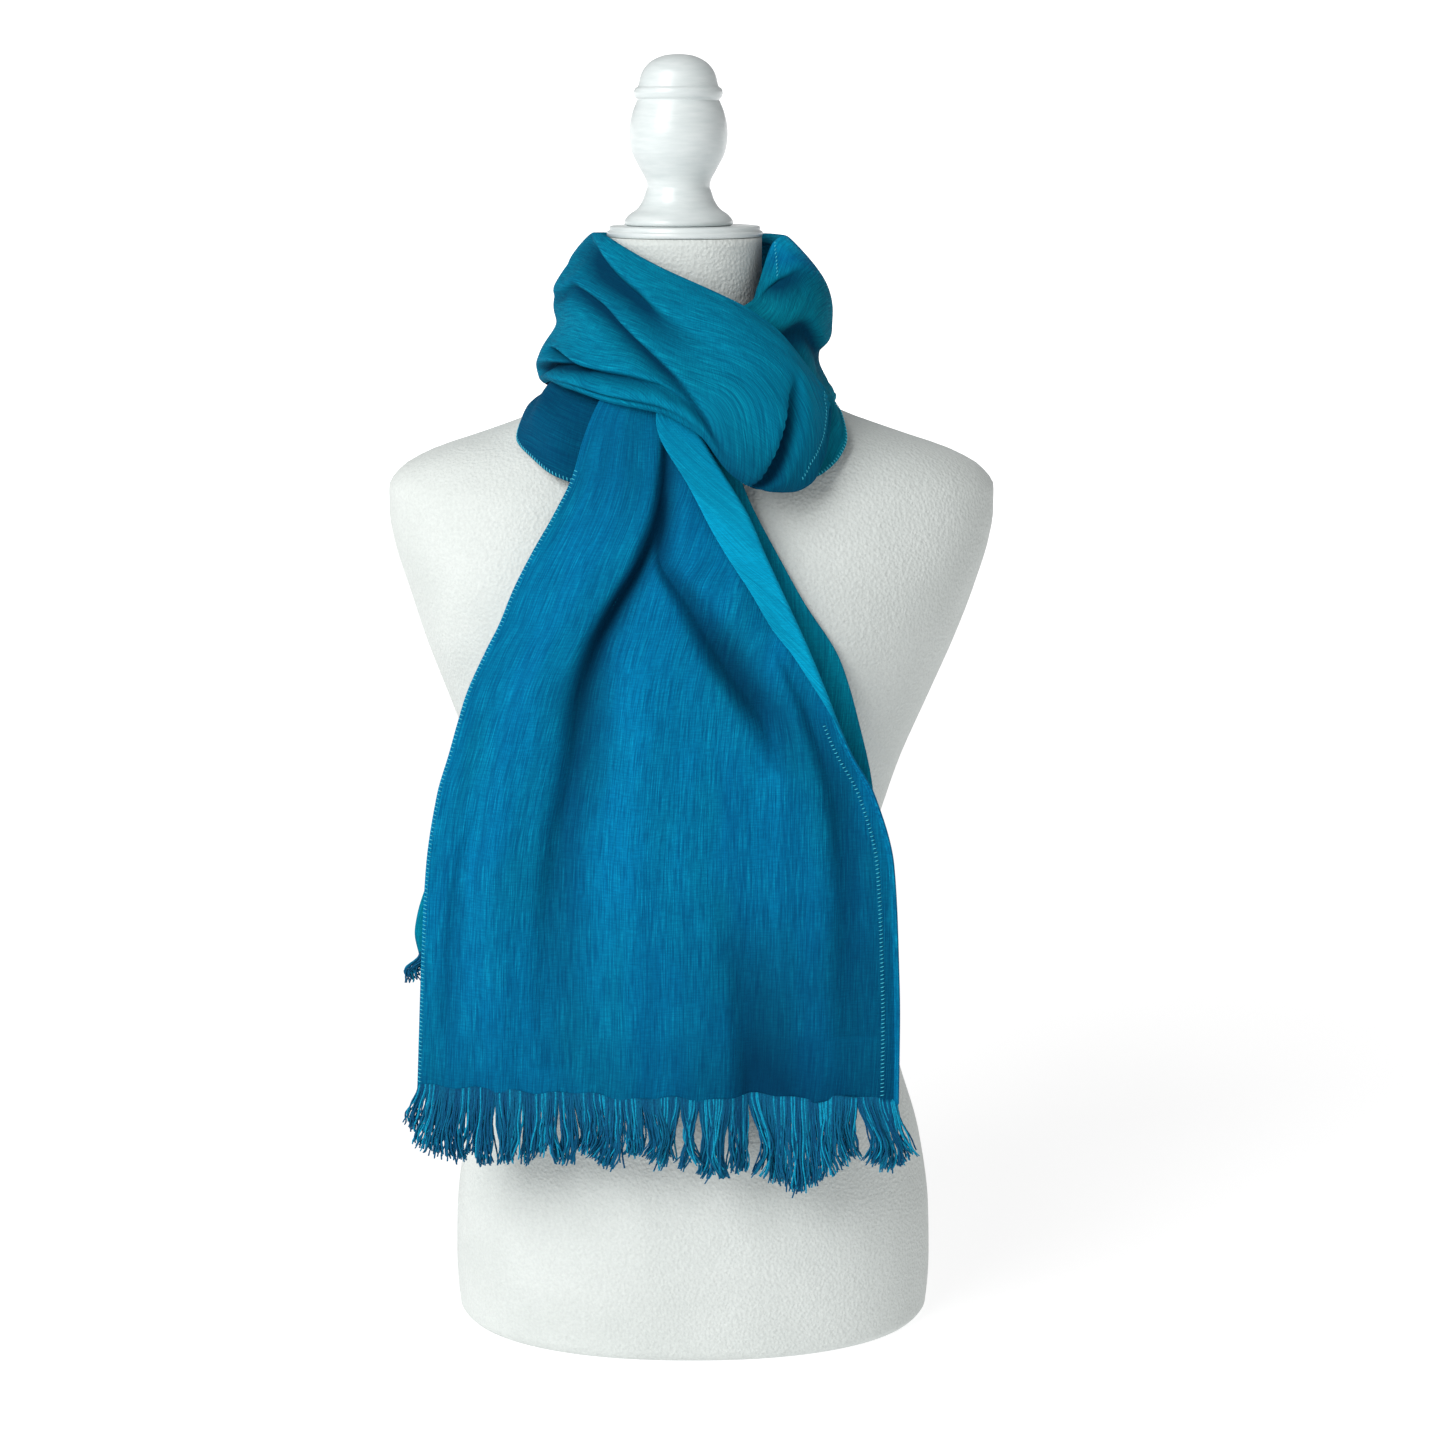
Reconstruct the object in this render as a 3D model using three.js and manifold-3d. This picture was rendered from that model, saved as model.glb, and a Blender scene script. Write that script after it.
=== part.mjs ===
// Long fringed scarf in a pull-through loop on a limbless dress form. Millimetres, +Z up.
// The form faces -Y and +X is its left arm side. The origin is the middle of the flat base.
import * as THREE from "three";
import { mergeVertices } from "three/addons/utils/BufferGeometryUtils.js";
import Module from "manifold-3d";

const wasm = await Module();
wasm.setup();

// Driving sizes
const WALL = 1.6;
const SEAM = 0.3;
const NECK_X = -4;
const NECK_TOP = 742.7;
const FINIAL_X = -8;
const CAP_TOP = 750;
const END_MIDDLE_X = -20;
const BEND_RADIUS = 2.6;
const TORSO_ROUND = 2.2;
const FRINGE_LENGTH = 52;
const STRIP_HEIGHT = 3;
const SPLAY = 12;
const DRAPE = { middle: 9, ends: -5, slant: 4 };
const UNEVEN = { slow: 4, fast: 3 };
const LOCK_LEAN = 1.2;
const KNEE = { across: 0.3, forward: 0.8, down: 0.45 };
const TIP_LIFT = 1.5;
const STRAND_WIDTH = 3;
const FRINGE_MARGIN = 1;
const FRONT_STRANDS = 76;
const REAR_STRANDS = 40;

// Share of a folded-back edge that lies in its bend, and how fast a fold fades past the bend
const BEND_SHARE = 0.75;
const BEND_LAP = 0.7;
const FOLD_FADE = 12;

// Steps of each surface: around and down a stretch, down and across a hanging end
const UPPER_STEPS = { around: 34, down: 16 };
const WRAP_STEPS = { around: 20, down: 16 };
const LOWER_STEPS = { around: 16, down: 8 };
const FRONT_STEPS = { rows: 29, flat: 22, bend: 4, strip: 3 };
const REAR_STEPS = { rows: 18, flat: 14, bend: 0, strip: 0 };
const TORSO_SIDES = 32;
const CAP_SIDES = 28;
const FINIAL_SIDES = 20;
const EDGE_STEPS = 24;

const colours = {
  jersey: 0xe6ebe8,
  paint: 0xf0f3f3,
  face: 0x0a6e9e,
  loop: 0x0b7a9c,
  shade: 0x095f88,
  fringe: 0x0a5c88,
};

// Half width and depths of the form at each height, with the lean of the neck
const torsoSections = [
  { z: 0, half: 160, front: 101, back: 103, shift: 0 },
  { z: 5, half: 164, front: 105, back: 107, shift: 0 },
  { z: 37, half: 166, front: 106, back: 109, shift: 0 },
  { z: 75, half: 165, front: 107, back: 111, shift: 0 },
  { z: 126, half: 158, front: 107, back: 111, shift: 0 },
  { z: 178, half: 143, front: 105, back: 106, shift: 0 },
  { z: 250, half: 126, front: 99, back: 91, shift: 0 },
  { z: 329, half: 122, front: 96, back: 80, shift: 0 },
  { z: 371, half: 132, front: 102, back: 82, shift: 0 },
  { z: 408, half: 148, front: 110, back: 87, shift: -3 },
  { z: 445, half: 163, front: 118, back: 94, shift: -2 },
  { z: 480, half: 177, front: 119, back: 99, shift: -1 },
  { z: 515, half: 189, front: 113, back: 101, shift: 0 },
  { z: 545, half: 198, front: 104, back: 98, shift: 0 },
  { z: 565, half: 201, front: 95, back: 92, shift: 0 },
  { z: 580, half: 201, front: 89, back: 86, shift: 0 },
  { z: 592, half: 193, front: 82, back: 80, shift: 0 },
  { z: 603, half: 174, front: 76, back: 75, shift: 0 },
  { z: 616, half: 136, front: 68, back: 69, shift: 0 },
  { z: 630, half: 99, front: 61.5, back: 63, shift: -1 },
  { z: 645, half: 76, front: 57, back: 58, shift: -2 },
  { z: 662, half: 61, front: 53.5, back: 54, shift: -3 },
  { z: 685, half: 52.5, front: 51, back: 51.5, shift: -4 },
  { z: 715, half: 50.4, front: 50.2, back: 50.4, shift: -4 },
  { z: NECK_TOP, half: 50.4, front: 50.2, back: 50.4, shift: -4 },
];

// A stretch round the neck: its section from the top rim down to the hem, as [radius, height],
// at each angle from the front towards +X
const loopUpperSections = [
  { angle: 55.5, rim: [108, 650], crest: [109, 648.5], high: [110, 646], middle: [111, 643.5],
    low: [112, 641], lip: [113, 638.5], hem: [113.5, 636] },
  { angle: 50, rim: [103, 661], crest: [105.5, 660], high: [110, 654], middle: [114, 645],
    low: [117, 634], lip: [118.5, 623], hem: [119, 617] },
  { angle: 45, rim: [98, 673], crest: [101, 672.5], high: [109, 663], middle: [117, 648],
    low: [122, 630], lip: [124, 614], hem: [124.5, 607] },
  { angle: 40, rim: [93, 684], crest: [96, 684], high: [107, 672], middle: [119, 652],
    low: [127, 628], lip: [128, 604], hem: [126, 594] },
  { angle: 34, rim: [87, 692], crest: [90, 693.5], high: [104, 680], middle: [120, 655],
    low: [131, 626], lip: [130, 597], hem: [124, 589] },
  { angle: 27, rim: [81, 699], crest: [84, 701.5], high: [101, 686], middle: [119, 659],
    low: [133, 628], lip: [134, 600], hem: [126, 590] },
  { angle: 20, rim: [76, 703.5], crest: [79, 707], high: [98, 690], middle: [116, 663],
    low: [130, 632], lip: [134.5, 604], hem: [128, 593.5] },
  { angle: 14, rim: [72, 707], crest: [75, 711], high: [95, 693], middle: [113, 668],
    low: [127, 637], lip: [131, 611], hem: [125.5, 602] },
  { angle: 5, rim: [68, 712], crest: [71, 716], high: [91, 697], middle: [108, 672],
    low: [120, 648], lip: [123, 633], hem: [116, 626.5] },
  { angle: -8, rim: [64, 718], crest: [67, 722.5], high: [87, 702], middle: [102, 677],
    low: [115, 656], lip: [118.5, 645], hem: [108.8, 639.2] },
  { angle: -24, rim: [60.5, 725], crest: [63, 730], high: [84, 708], middle: [96, 682],
    low: [110, 662], lip: [116, 650], hem: [109, 644.5] },
  { angle: -43, rim: [57, 732], crest: [60, 737.5], high: [83, 713], middle: [90, 686],
    low: [104, 668], lip: [111, 656.5], hem: [105, 651] },
  { angle: -61, rim: [55, 737], crest: [60, 743], high: [85, 715], middle: [86, 688],
    low: [98, 670], lip: [103, 659], hem: [97, 653] },
  { angle: -75, rim: [52.2, 738], crest: [62, 744], high: [87.5, 707], middle: [84.5, 686],
    low: [96, 669], lip: [98, 656], hem: [93, 650] },
  { angle: -90, rim: [52.2, 738], crest: [64, 743.5], high: [88, 706], middle: [84.5, 686],
    low: [96, 667], lip: [97, 653], hem: [91.5, 647] },
  { angle: -115, rim: [55, 738], crest: [64, 743], high: [87, 712], middle: [84, 688],
    low: [96, 664], lip: [97, 646], hem: [91, 639.5] },
  { angle: -145, rim: [57, 736], crest: [66, 741], high: [88, 710], middle: [87, 685],
    low: [97, 660], lip: [98, 641], hem: [92, 633.5] },
  { angle: -179.8, rim: [58, 735], crest: [67, 740], high: [89, 709], middle: [89, 683],
    low: [97, 656], lip: [99, 638], hem: [93, 631] },
];
const wrapRightSections = [
  { angle: 22, rim: [72, 692], crest: [75, 694], high: [84, 683], middle: [92, 668],
    low: [100, 648], lip: [108, 622], hem: [111, 608] },
  { angle: 32, rim: [70, 698], crest: [73, 700.5], high: [84, 689], middle: [92, 670],
    low: [102, 645], lip: [115, 612], hem: [119, 600] },
  { angle: 42, rim: [67, 702], crest: [70, 705.5], high: [86, 694], middle: [93, 672],
    low: [102, 647], lip: [117, 613], hem: [122.3, 596] },
  { angle: 50, rim: [62, 709], crest: [66, 714], high: [87, 702], middle: [95, 678],
    low: [101, 650], lip: [116, 618], hem: [123, 602] },
  { angle: 58, rim: [61, 722], crest: [65, 727], high: [87, 711], middle: [96, 683],
    low: [98, 655], lip: [115, 626], hem: [121.5, 613] },
  { angle: 66, rim: [62, 735], crest: [66.5, 740], high: [90, 717], middle: [96.5, 684],
    low: [95, 656], lip: [106, 638], hem: [111, 630] },
  { angle: 75, rim: [61, 737], crest: [68, 742], high: [92.5, 714], middle: [96.5, 683],
    low: [92.5, 656], lip: [98, 644], hem: [100, 637.5] },
  { angle: 90, rim: [58.5, 737], crest: [68, 742], high: [92.5, 712], middle: [96.5, 683],
    low: [91, 657], lip: [97, 646], hem: [98, 638.5] },
  { angle: 115, rim: [55, 738], crest: [66, 742], high: [91, 711], middle: [96, 683],
    low: [94, 658], lip: [98, 643], hem: [97, 634.5] },
  { angle: 145, rim: [57, 736], crest: [67, 741], high: [90, 710], middle: [93, 684],
    low: [96, 659], lip: [99, 641], hem: [95, 632.5] },
  { angle: 179.8, rim: [58, 735], crest: [67, 740], high: [89, 709], middle: [89, 683],
    low: [97, 656], lip: [99, 638], hem: [93, 631] },
];
const loopLowerSections = [
  { angle: -100, rim: [82, 658], crest: [83, 653], high: [85, 646], middle: [91, 640.3],
    low: [95, 637.5], lip: [96.5, 635], hem: [96, 631.5] },
  { angle: -85, rim: [82, 660], crest: [84, 654], high: [88, 647], middle: [94, 641.5],
    low: [98, 638.5], lip: [101.5, 635], hem: [101, 631] },
  { angle: -75, rim: [83, 661], crest: [86, 655], high: [92, 647.5], middle: [97, 641.5],
    low: [103, 637], lip: [107, 632.5], hem: [107.5, 628] },
  { angle: -65, rim: [86, 662], crest: [89, 657], high: [98, 648], middle: [106, 637],
    low: [112, 629], lip: [116.5, 619], hem: [118.5, 613.5] },
  { angle: -56, rim: [88, 660], crest: [91, 655], high: [100, 645], middle: [112, 635],
    low: [116, 624], lip: [118.5, 613], hem: [119, 607] },
  { angle: -46, rim: [90, 657], crest: [93, 652], high: [101, 642], middle: [111, 630],
    low: [117, 619], lip: [118.5, 605.5], hem: [118.5, 598] },
  { angle: -37, rim: [91, 655], crest: [93, 650], high: [98, 641], middle: [104, 628],
    low: [108, 615], lip: [112, 600], hem: [113, 592] },
  { angle: -25, rim: [89, 654], crest: [90, 649], high: [93, 640], middle: [96, 627],
    low: [99, 613], lip: [102, 597], hem: [103, 589] },
  { angle: -10, rim: [86, 654], crest: [87, 649], high: [89, 640], middle: [92, 626],
    low: [95, 612], lip: [98, 597], hem: [99, 589] },
  { angle: 16, rim: [86, 654], crest: [87, 649], high: [89, 640], middle: [92, 626],
    low: [95, 612], lip: [98, 597], hem: [99, 589] },
];

// Grooves pressed into a stretch: down is the share of the way from rim to hem
const loopUpperFolds = [
  { rows: [
    { angle: -100, down: 0.14, deep: 0, wide: 0.05 },
    { angle: -72, down: 0.21, deep: 4, wide: 0.05 },
    { angle: -44, down: 0.28, deep: 7.2, wide: 0.055 },
    { angle: -22, down: 0.33, deep: 7.2, wide: 0.06 },
    { angle: -6, down: 0.4, deep: 4.8, wide: 0.07 },
    { angle: 10, down: 0.44, deep: 2, wide: 0.09 },
    { angle: 20, down: 0.47, deep: 0, wide: 0.1 },
  ] },
  { rows: [
    { angle: -100, down: 0.36, deep: 0, wide: 0.05 },
    { angle: -74, down: 0.34, deep: 4.8, wide: 0.05 },
    { angle: -41, down: 0.4, deep: 7.2, wide: 0.05 },
    { angle: -22, down: 0.48, deep: 7.2, wide: 0.05 },
    { angle: -6, down: 0.58, deep: 7.2, wide: 0.05 },
    { angle: 0, down: 0.64, deep: 6.4, wide: 0.05 },
    { angle: 8, down: 0.78, deep: 4, wide: 0.05 },
    { angle: 15, down: 0.88, deep: 0, wide: 0.06 },
  ] },
  { rows: [
    { angle: -92, down: 0.8, deep: 0, wide: 0.06 },
    { angle: -72, down: 0.77, deep: 7.2, wide: 0.06 },
    { angle: -56, down: 0.74, deep: 8, wide: 0.05 },
    { angle: -31, down: 0.69, deep: 5.6, wide: 0.05 },
    { angle: -17, down: 0.67, deep: 4.8, wide: 0.05 },
    { angle: -9, down: 0.67, deep: 4, wide: 0.05 },
    { angle: 0, down: 0.72, deep: 2.4, wide: 0.05 },
    { angle: 8, down: 0.8, deep: 0, wide: 0.05 },
  ] },
  { rows: [
    { angle: -60, down: 0.9, deep: 0, wide: 0.05 },
    { angle: -31, down: 0.86, deep: 2.4, wide: 0.05 },
    { angle: -9, down: 0.86, deep: 2.8, wide: 0.05 },
    { angle: 8, down: 0.92, deep: 0, wide: 0.05 },
  ] },
  { rows: [
    { angle: 20, down: 0.97, deep: 4, wide: 0.06 },
    { angle: 23, down: 0.85, deep: 7.2, wide: 0.055 },
    { angle: 26, down: 0.77, deep: 8.8, wide: 0.055 },
    { angle: 29, down: 0.69, deep: 8.8, wide: 0.06 },
    { angle: 33, down: 0.58, deep: 6.4, wide: 0.07 },
    { angle: 40, down: 0.45, deep: 0, wide: 0.08 },
  ] },
  { rows: [
    { angle: -180, down: 0.45, deep: 3.2, wide: 0.07 },
    { angle: -140, down: 0.42, deep: 4.8, wide: 0.06 },
    { angle: -100, down: 0.3, deep: 3.2, wide: 0.06 },
    { angle: -84, down: 0.26, deep: 0, wide: 0.06 },
  ] },
  { rows: [
    { angle: -180, down: 0.72, deep: 2.4, wide: 0.06 },
    { angle: -140, down: 0.66, deep: 4, wide: 0.06 },
    { angle: -112, down: 0.6, deep: 3.2, wide: 0.05 },
    { angle: -96, down: 0.56, deep: 0, wide: 0.05 },
  ] },
];
const wrapRightFolds = [
  { rows: [
    { angle: 43, down: 0.2, deep: 0, wide: 0.05 },
    { angle: 50, down: 0.24, deep: 3.2, wide: 0.05 },
    { angle: 55, down: 0.27, deep: 4.8, wide: 0.05 },
    { angle: 61, down: 0.3, deep: 4, wide: 0.05 },
    { angle: 70, down: 0.32, deep: 1.2, wide: 0.05 },
    { angle: 80, down: 0.33, deep: 0, wide: 0.05 },
  ] },
  { rows: [
    { angle: 30, down: 0.4, deep: 0, wide: 0.07 },
    { angle: 43, down: 0.44, deep: 4, wide: 0.07 },
    { angle: 56, down: 0.47, deep: 5.6, wide: 0.06 },
    { angle: 73, down: 0.58, deep: 4, wide: 0.06 },
    { angle: 110, down: 0.54, deep: 4, wide: 0.07 },
    { angle: 150, down: 0.48, deep: 4, wide: 0.07 },
    { angle: 180, down: 0.45, deep: 3.2, wide: 0.07 },
  ] },
  { rows: [
    { angle: 80, down: 0.8, deep: 0, wide: 0.06 },
    { angle: 110, down: 0.78, deep: 3.2, wide: 0.06 },
    { angle: 150, down: 0.74, deep: 4, wide: 0.06 },
    { angle: 180, down: 0.72, deep: 2.4, wide: 0.06 },
  ] },
];

// The hanging ends: both side lines, depth in front of the axis and its bow at each height.
// turned is how far the right edge is folded back over the front
const frontEndSections = [
  { z: 662, left: -46, right: -2, turned: 18, depth: 95, bow: 0.0052 },
  { z: 638, left: -60, right: 0, turned: 24, depth: 101, bow: 0.0048 },
  { z: 620, left: -67, right: 9, turned: 29, depth: 108, bow: 0.004 },
  { z: 598, left: -73.5, right: 22.6, turned: 28.5, depth: 117, bow: 0.0032 },
  { z: 575, left: -85.3, right: 36.7, turned: 30, depth: 124.4, bow: 0.0024 },
  { z: 553, left: -98, right: 46.3, turned: 27, depth: 129.4, bow: 0.0018 },
  { z: 528, left: -111, right: 58, turned: 22.2, depth: 134.7, bow: 0.0013 },
  { z: 508, left: -119.3, right: 67.5, turned: 20, depth: 138, bow: 0.0011 },
  { z: 490, left: -128.5, right: 75.5, turned: 14, depth: 140, bow: 0.0009 },
  { z: 464, left: -140.5, right: 86.2, turned: 8.4, depth: 141.8, bow: 0.0007 },
  { z: 450, left: -145, right: 91.3, turned: 6, depth: 142, bow: 0.0007 },
  { z: 426, left: -152, right: 101.5, turned: 5, depth: 142.6, bow: 0.0006 },
  { z: 400, left: -160, right: 116, turned: 5, depth: 143, bow: 0.0006 },
  { z: 353, left: -168, right: 129, turned: 5, depth: 143, bow: 0.0005 },
  { z: 294, left: -172.3, right: 132.6, turned: 5, depth: 143, bow: 0.0005 },
  { z: 247, left: -174.8, right: 134, turned: 5, depth: 143, bow: 0.0005 },
  { z: 200, left: -177, right: 134, turned: 5, depth: 143, bow: 0.0005 },
];
const rearEndSections = [
  { z: 646, left: -42, right: 4, depth: 94, bow: 0.0052 },
  { z: 625, left: -50, right: 17, depth: 98, bow: 0.0046 },
  { z: 609, left: -56, right: 26.4, depth: 101.5, bow: 0.0036 },
  { z: 582, left: -70, right: 37.5, depth: 107, bow: 0.0024 },
  { z: 541, left: -90, right: 59.5, depth: 116, bow: 0.0015 },
  { z: 519, left: -101, right: 72, depth: 120, bow: 0.0012 },
  { z: 482, left: -119, right: 95.2, depth: 122.5, bow: 0.0009 },
  { z: 441, left: -136, right: 107.6, depth: 124, bow: 0.0008 },
  { z: 400, left: -150, right: 116.5, depth: 124, bow: 0.0007 },
  { z: 350, left: -165, right: 121, depth: 124, bow: 0.0006 },
  { z: 312, left: -177, right: 121, depth: 124, bow: 0.0005 },
  { z: 300, left: -178.5, right: 120, depth: 124, bow: 0.0005 },
  { z: 284, left: -176, right: 119, depth: 124, bow: 0.0005 },
];

// Folds of a hanging end: where each trough runs, how deep it is pushed back and how wide it is.
// A ridge has a negative depth
const frontEndFolds = [
  { rows: [
    { z: 640, x: -12, deep: 1.8, wide: 6 },
    { z: 585, x: -18, deep: 9.9, wide: 6 },
    { z: 550, x: -30, deep: 13.5, wide: 7 },
    { z: 519, x: -48, deep: 15.3, wide: 9 },
    { z: 494, x: -61, deep: 14.4, wide: 10 },
    { z: 462, x: -69, deep: 11.7, wide: 12 },
    { z: 423, x: -73, deep: 8.1, wide: 15 },
    { z: 378, x: -82, deep: 5.4, wide: 18 },
    { z: 300, x: -92, deep: 2.7, wide: 22 },
    { z: 220, x: -98, deep: 0, wide: 24 },
  ] },
  { rows: [
    { z: 590, x: -14, deep: 0, wide: 6 },
    { z: 550, x: -18, deep: 7.2, wide: 7 },
    { z: 519, x: 0, deep: 9.9, wide: 10 },
    { z: 487, x: 19, deep: 11.7, wide: 12 },
    { z: 462, x: 36, deep: 9, wide: 11 },
    { z: 440, x: 50, deep: 3.6, wide: 11 },
    { z: 415, x: 60, deep: 0, wide: 14 },
  ] },
  { rows: [
    { z: 500, x: 52, deep: 0, wide: 8 },
    { z: 462, x: 70, deep: 4.5, wide: 9 },
    { z: 424, x: 84, deep: 7.2, wide: 11 },
    { z: 378, x: 95, deep: 6.3, wide: 14 },
    { z: 320, x: 100, deep: 3.6, wide: 18 },
    { z: 240, x: 102, deep: 0.9, wide: 22 },
  ] },
  { rows: [
    { z: 560, x: -66, deep: 0, wide: 10 },
    { z: 510, x: -82, deep: -4.5, wide: 14 },
    { z: 450, x: -106, deep: -5.4, wide: 18 },
    { z: 360, x: -126, deep: -4.5, wide: 20 },
    { z: 260, x: -134, deep: -2.7, wide: 22 },
    { z: 200, x: -136, deep: -0.9, wide: 22 },
  ] },
  { rows: [
    { z: 500, x: -20, deep: 0, wide: 12 },
    { z: 455, x: -30, deep: -4.5, wide: 16 },
    { z: 400, x: -30, deep: -5.4, wide: 24 },
    { z: 300, x: -34, deep: -4.5, wide: 32 },
    { z: 200, x: -34, deep: -4.5, wide: 36 },
  ] },
  { rows: [
    { z: 350, x: 20, deep: 0, wide: 16 },
    { z: 270, x: 34, deep: 4.5, wide: 20 },
    { z: 200, x: 40, deep: 6.3, wide: 22 },
  ] },
  { rows: [
    { z: 420, x: -118, deep: 0, wide: 8 },
    { z: 350, x: -146, deep: 2.7, wide: 9 },
    { z: 280, x: -154, deep: 2.7, wide: 10 },
    { z: 220, x: -158, deep: 0, wide: 10 },
  ] },
];
const rearEndFolds = [
  { rows: [
    { z: 560, x: -12, deep: 0, wide: 10 },
    { z: 460, x: 30, deep: -3, wide: 16 },
    { z: 380, x: 50, deep: -4, wide: 20 },
    { z: 284, x: 60, deep: -5, wide: 22 },
  ] },
  { rows: [
    { z: 420, x: -90, deep: 0, wide: 16 },
    { z: 340, x: -110, deep: -4, wide: 20 },
    { z: 284, x: -120, deep: -5, wide: 20 },
  ] },
];

// Outlines turned on the lathe, as [radius, height]
const capOutline = [
  [0, 743], [50.2, 743], [50.8, 744.2], [50.8, 746], [49.6, 746.8], [49.8, 748.6],
  [48.6, CAP_TOP], [0, CAP_TOP],
];
const finialOutline = [
  [0, 750.3], [34.5, 750.3], [35.6, 751.8], [35.2, 754], [32, 757.4], [27, 761], [23.6, 766],
  [22, 770.5], [20.7, 775.4], [21.8, 780], [26, 788], [30.4, 797], [32, 806.6], [31.6, 815],
  [29.8, 822.5], [27.6, 828], [26.8, 830], [28.2, 832], [28.8, 834.8], [28, 837.4], [26.4, 838.6],
  [25.3, 842], [24.2, 846], [21.8, 850.4], [17.2, 854.8], [10.5, 857.9], [0, 859],
];

// Smooth value of one column of a table at a place between its rows
function column(rows, place, key, at) {
  const ordered = rows[0][place] < rows[rows.length - 1][place] ? rows : [...rows].reverse();
  const last = ordered.length - 1;
  if (at <= ordered[0][place]) return key(ordered[0]);
  if (at >= ordered[last][place]) return key(ordered[last]);
  let i = 0;
  while (ordered[i + 1][place] < at) i += 1;
  const slope = (a, b) => (key(ordered[b]) - key(ordered[a])) / (ordered[b][place] - ordered[a][place]);
  const tangent = (n) => {
    if (n === 0) return slope(0, 1);
    if (n === last) return slope(last - 1, last);
    const before = slope(n - 1, n);
    const after = slope(n, n + 1);
    return before * after <= 0 ? 0 : (2 * before * after) / (before + after);
  };
  const span = ordered[i + 1][place] - ordered[i][place];
  const t = (at - ordered[i][place]) / span;
  const low = key(ordered[i]) * (1 + 2 * t) * (1 - t) ** 2 + key(ordered[i + 1]) * t * t * (3 - 2 * t);
  return low + span * (tangent(i) * t * (1 - t) ** 2 - tangent(i + 1) * t * t * (1 - t));
}

// Pushed-in depth of all folds at a point; along is the table's place column and across the other
function foldDepth(folds, place, across, at, side) {
  let depth = 0;
  for (const { rows } of folds) {
    const ends = [rows[0][place], rows[rows.length - 1][place]];
    if (at < Math.min(...ends) || at > Math.max(...ends)) continue;
    const value = (name) => column(rows, place, (row) => row[name], at);
    depth += value("deep") * Math.exp(-(((side - value(across)) / value("wide")) ** 2));
  }
  return depth;
}

// A closed wall round a middle surface given as a grid of points
function wall(rows, columns, pointAt) {
  const grid = [];
  for (let i = 0; i <= rows; i += 1) {
    grid.push([]);
    for (let j = 0; j <= columns; j += 1) grid[i].push(pointAt(i / rows, j));
  }
  const normalAt = (i, j) => {
    const down = grid[Math.min(i + 1, rows)][j].clone().sub(grid[Math.max(i - 1, 0)][j]);
    const side = grid[i][Math.min(j + 1, columns)].clone().sub(grid[i][Math.max(j - 1, 0)]);
    return down.cross(side).normalize();
  };
  const positions = [];
  for (const out of [1, -1]) {
    for (let i = 0; i <= rows; i += 1) {
      for (let j = 0; j <= columns; j += 1) {
        const point = grid[i][j].clone().addScaledVector(normalAt(i, j), (out * WALL) / 2);
        positions.push(point.x, point.y, point.z);
      }
    }
  }
  const at = (side, i, j) => (side * (rows + 1) + i) * (columns + 1) + j;
  const index = [];
  const quad = (a, b, c, d) => index.push(a, b, c, a, c, d);
  for (let i = 0; i < rows; i += 1) {
    for (let j = 0; j < columns; j += 1) {
      quad(at(0, i, j), at(0, i + 1, j), at(0, i + 1, j + 1), at(0, i, j + 1));
      quad(at(1, i, j), at(1, i, j + 1), at(1, i + 1, j + 1), at(1, i + 1, j));
    }
  }
  for (let i = 0; i < rows; i += 1) {
    quad(at(0, i, 0), at(1, i, 0), at(1, i + 1, 0), at(0, i + 1, 0));
    quad(at(0, i, columns), at(0, i + 1, columns), at(1, i + 1, columns), at(1, i, columns));
  }
  for (let j = 0; j < columns; j += 1) {
    quad(at(0, 0, j), at(0, 0, j + 1), at(1, 0, j + 1), at(1, 0, j));
    quad(at(0, rows, j), at(1, rows, j), at(1, rows, j + 1), at(0, rows, j + 1));
  }
  const geometry = new THREE.BufferGeometry();
  geometry.setAttribute("position", new THREE.Float32BufferAttribute(positions, 3));
  geometry.setIndex(index);
  return geometry;
}

// A stretch of cloth round the neck
function wrap(sections, folds, { around, down }) {
  const names = ["rim", "crest", "high", "middle", "low", "lip", "hem"];
  const first = sections[0].angle;
  const last = sections[sections.length - 1].angle;
  const pointAt = (share, j) => {
    const angle = first + (last - first) * share;
    const controls = names.map((name) => new THREE.Vector2(
      column(sections, "angle", (row) => row[name][0], angle),
      column(sections, "angle", (row) => row[name][1], angle),
    ));
    const section = new THREE.SplineCurve(controls).getPoint(j / down);
    const radius = section.x - foldDepth(folds, "angle", "down", angle, j / down);
    const turn = THREE.MathUtils.degToRad(angle);
    return new THREE.Vector3(NECK_X + radius * Math.sin(turn), -radius * Math.cos(turn), section.y);
  };
  return wall(around, down, pointAt);
}

// Depth of a hanging end at a point
function endDepth(sections, folds, x, z) {
  const depth = column(sections, "z", (row) => row.depth, z);
  const bow = column(sections, "z", (row) => row.bow, z);
  return -depth + bow * (x - END_MIDDLE_X) ** 2 + foldDepth(folds, "z", "x", z, x);
}

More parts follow.
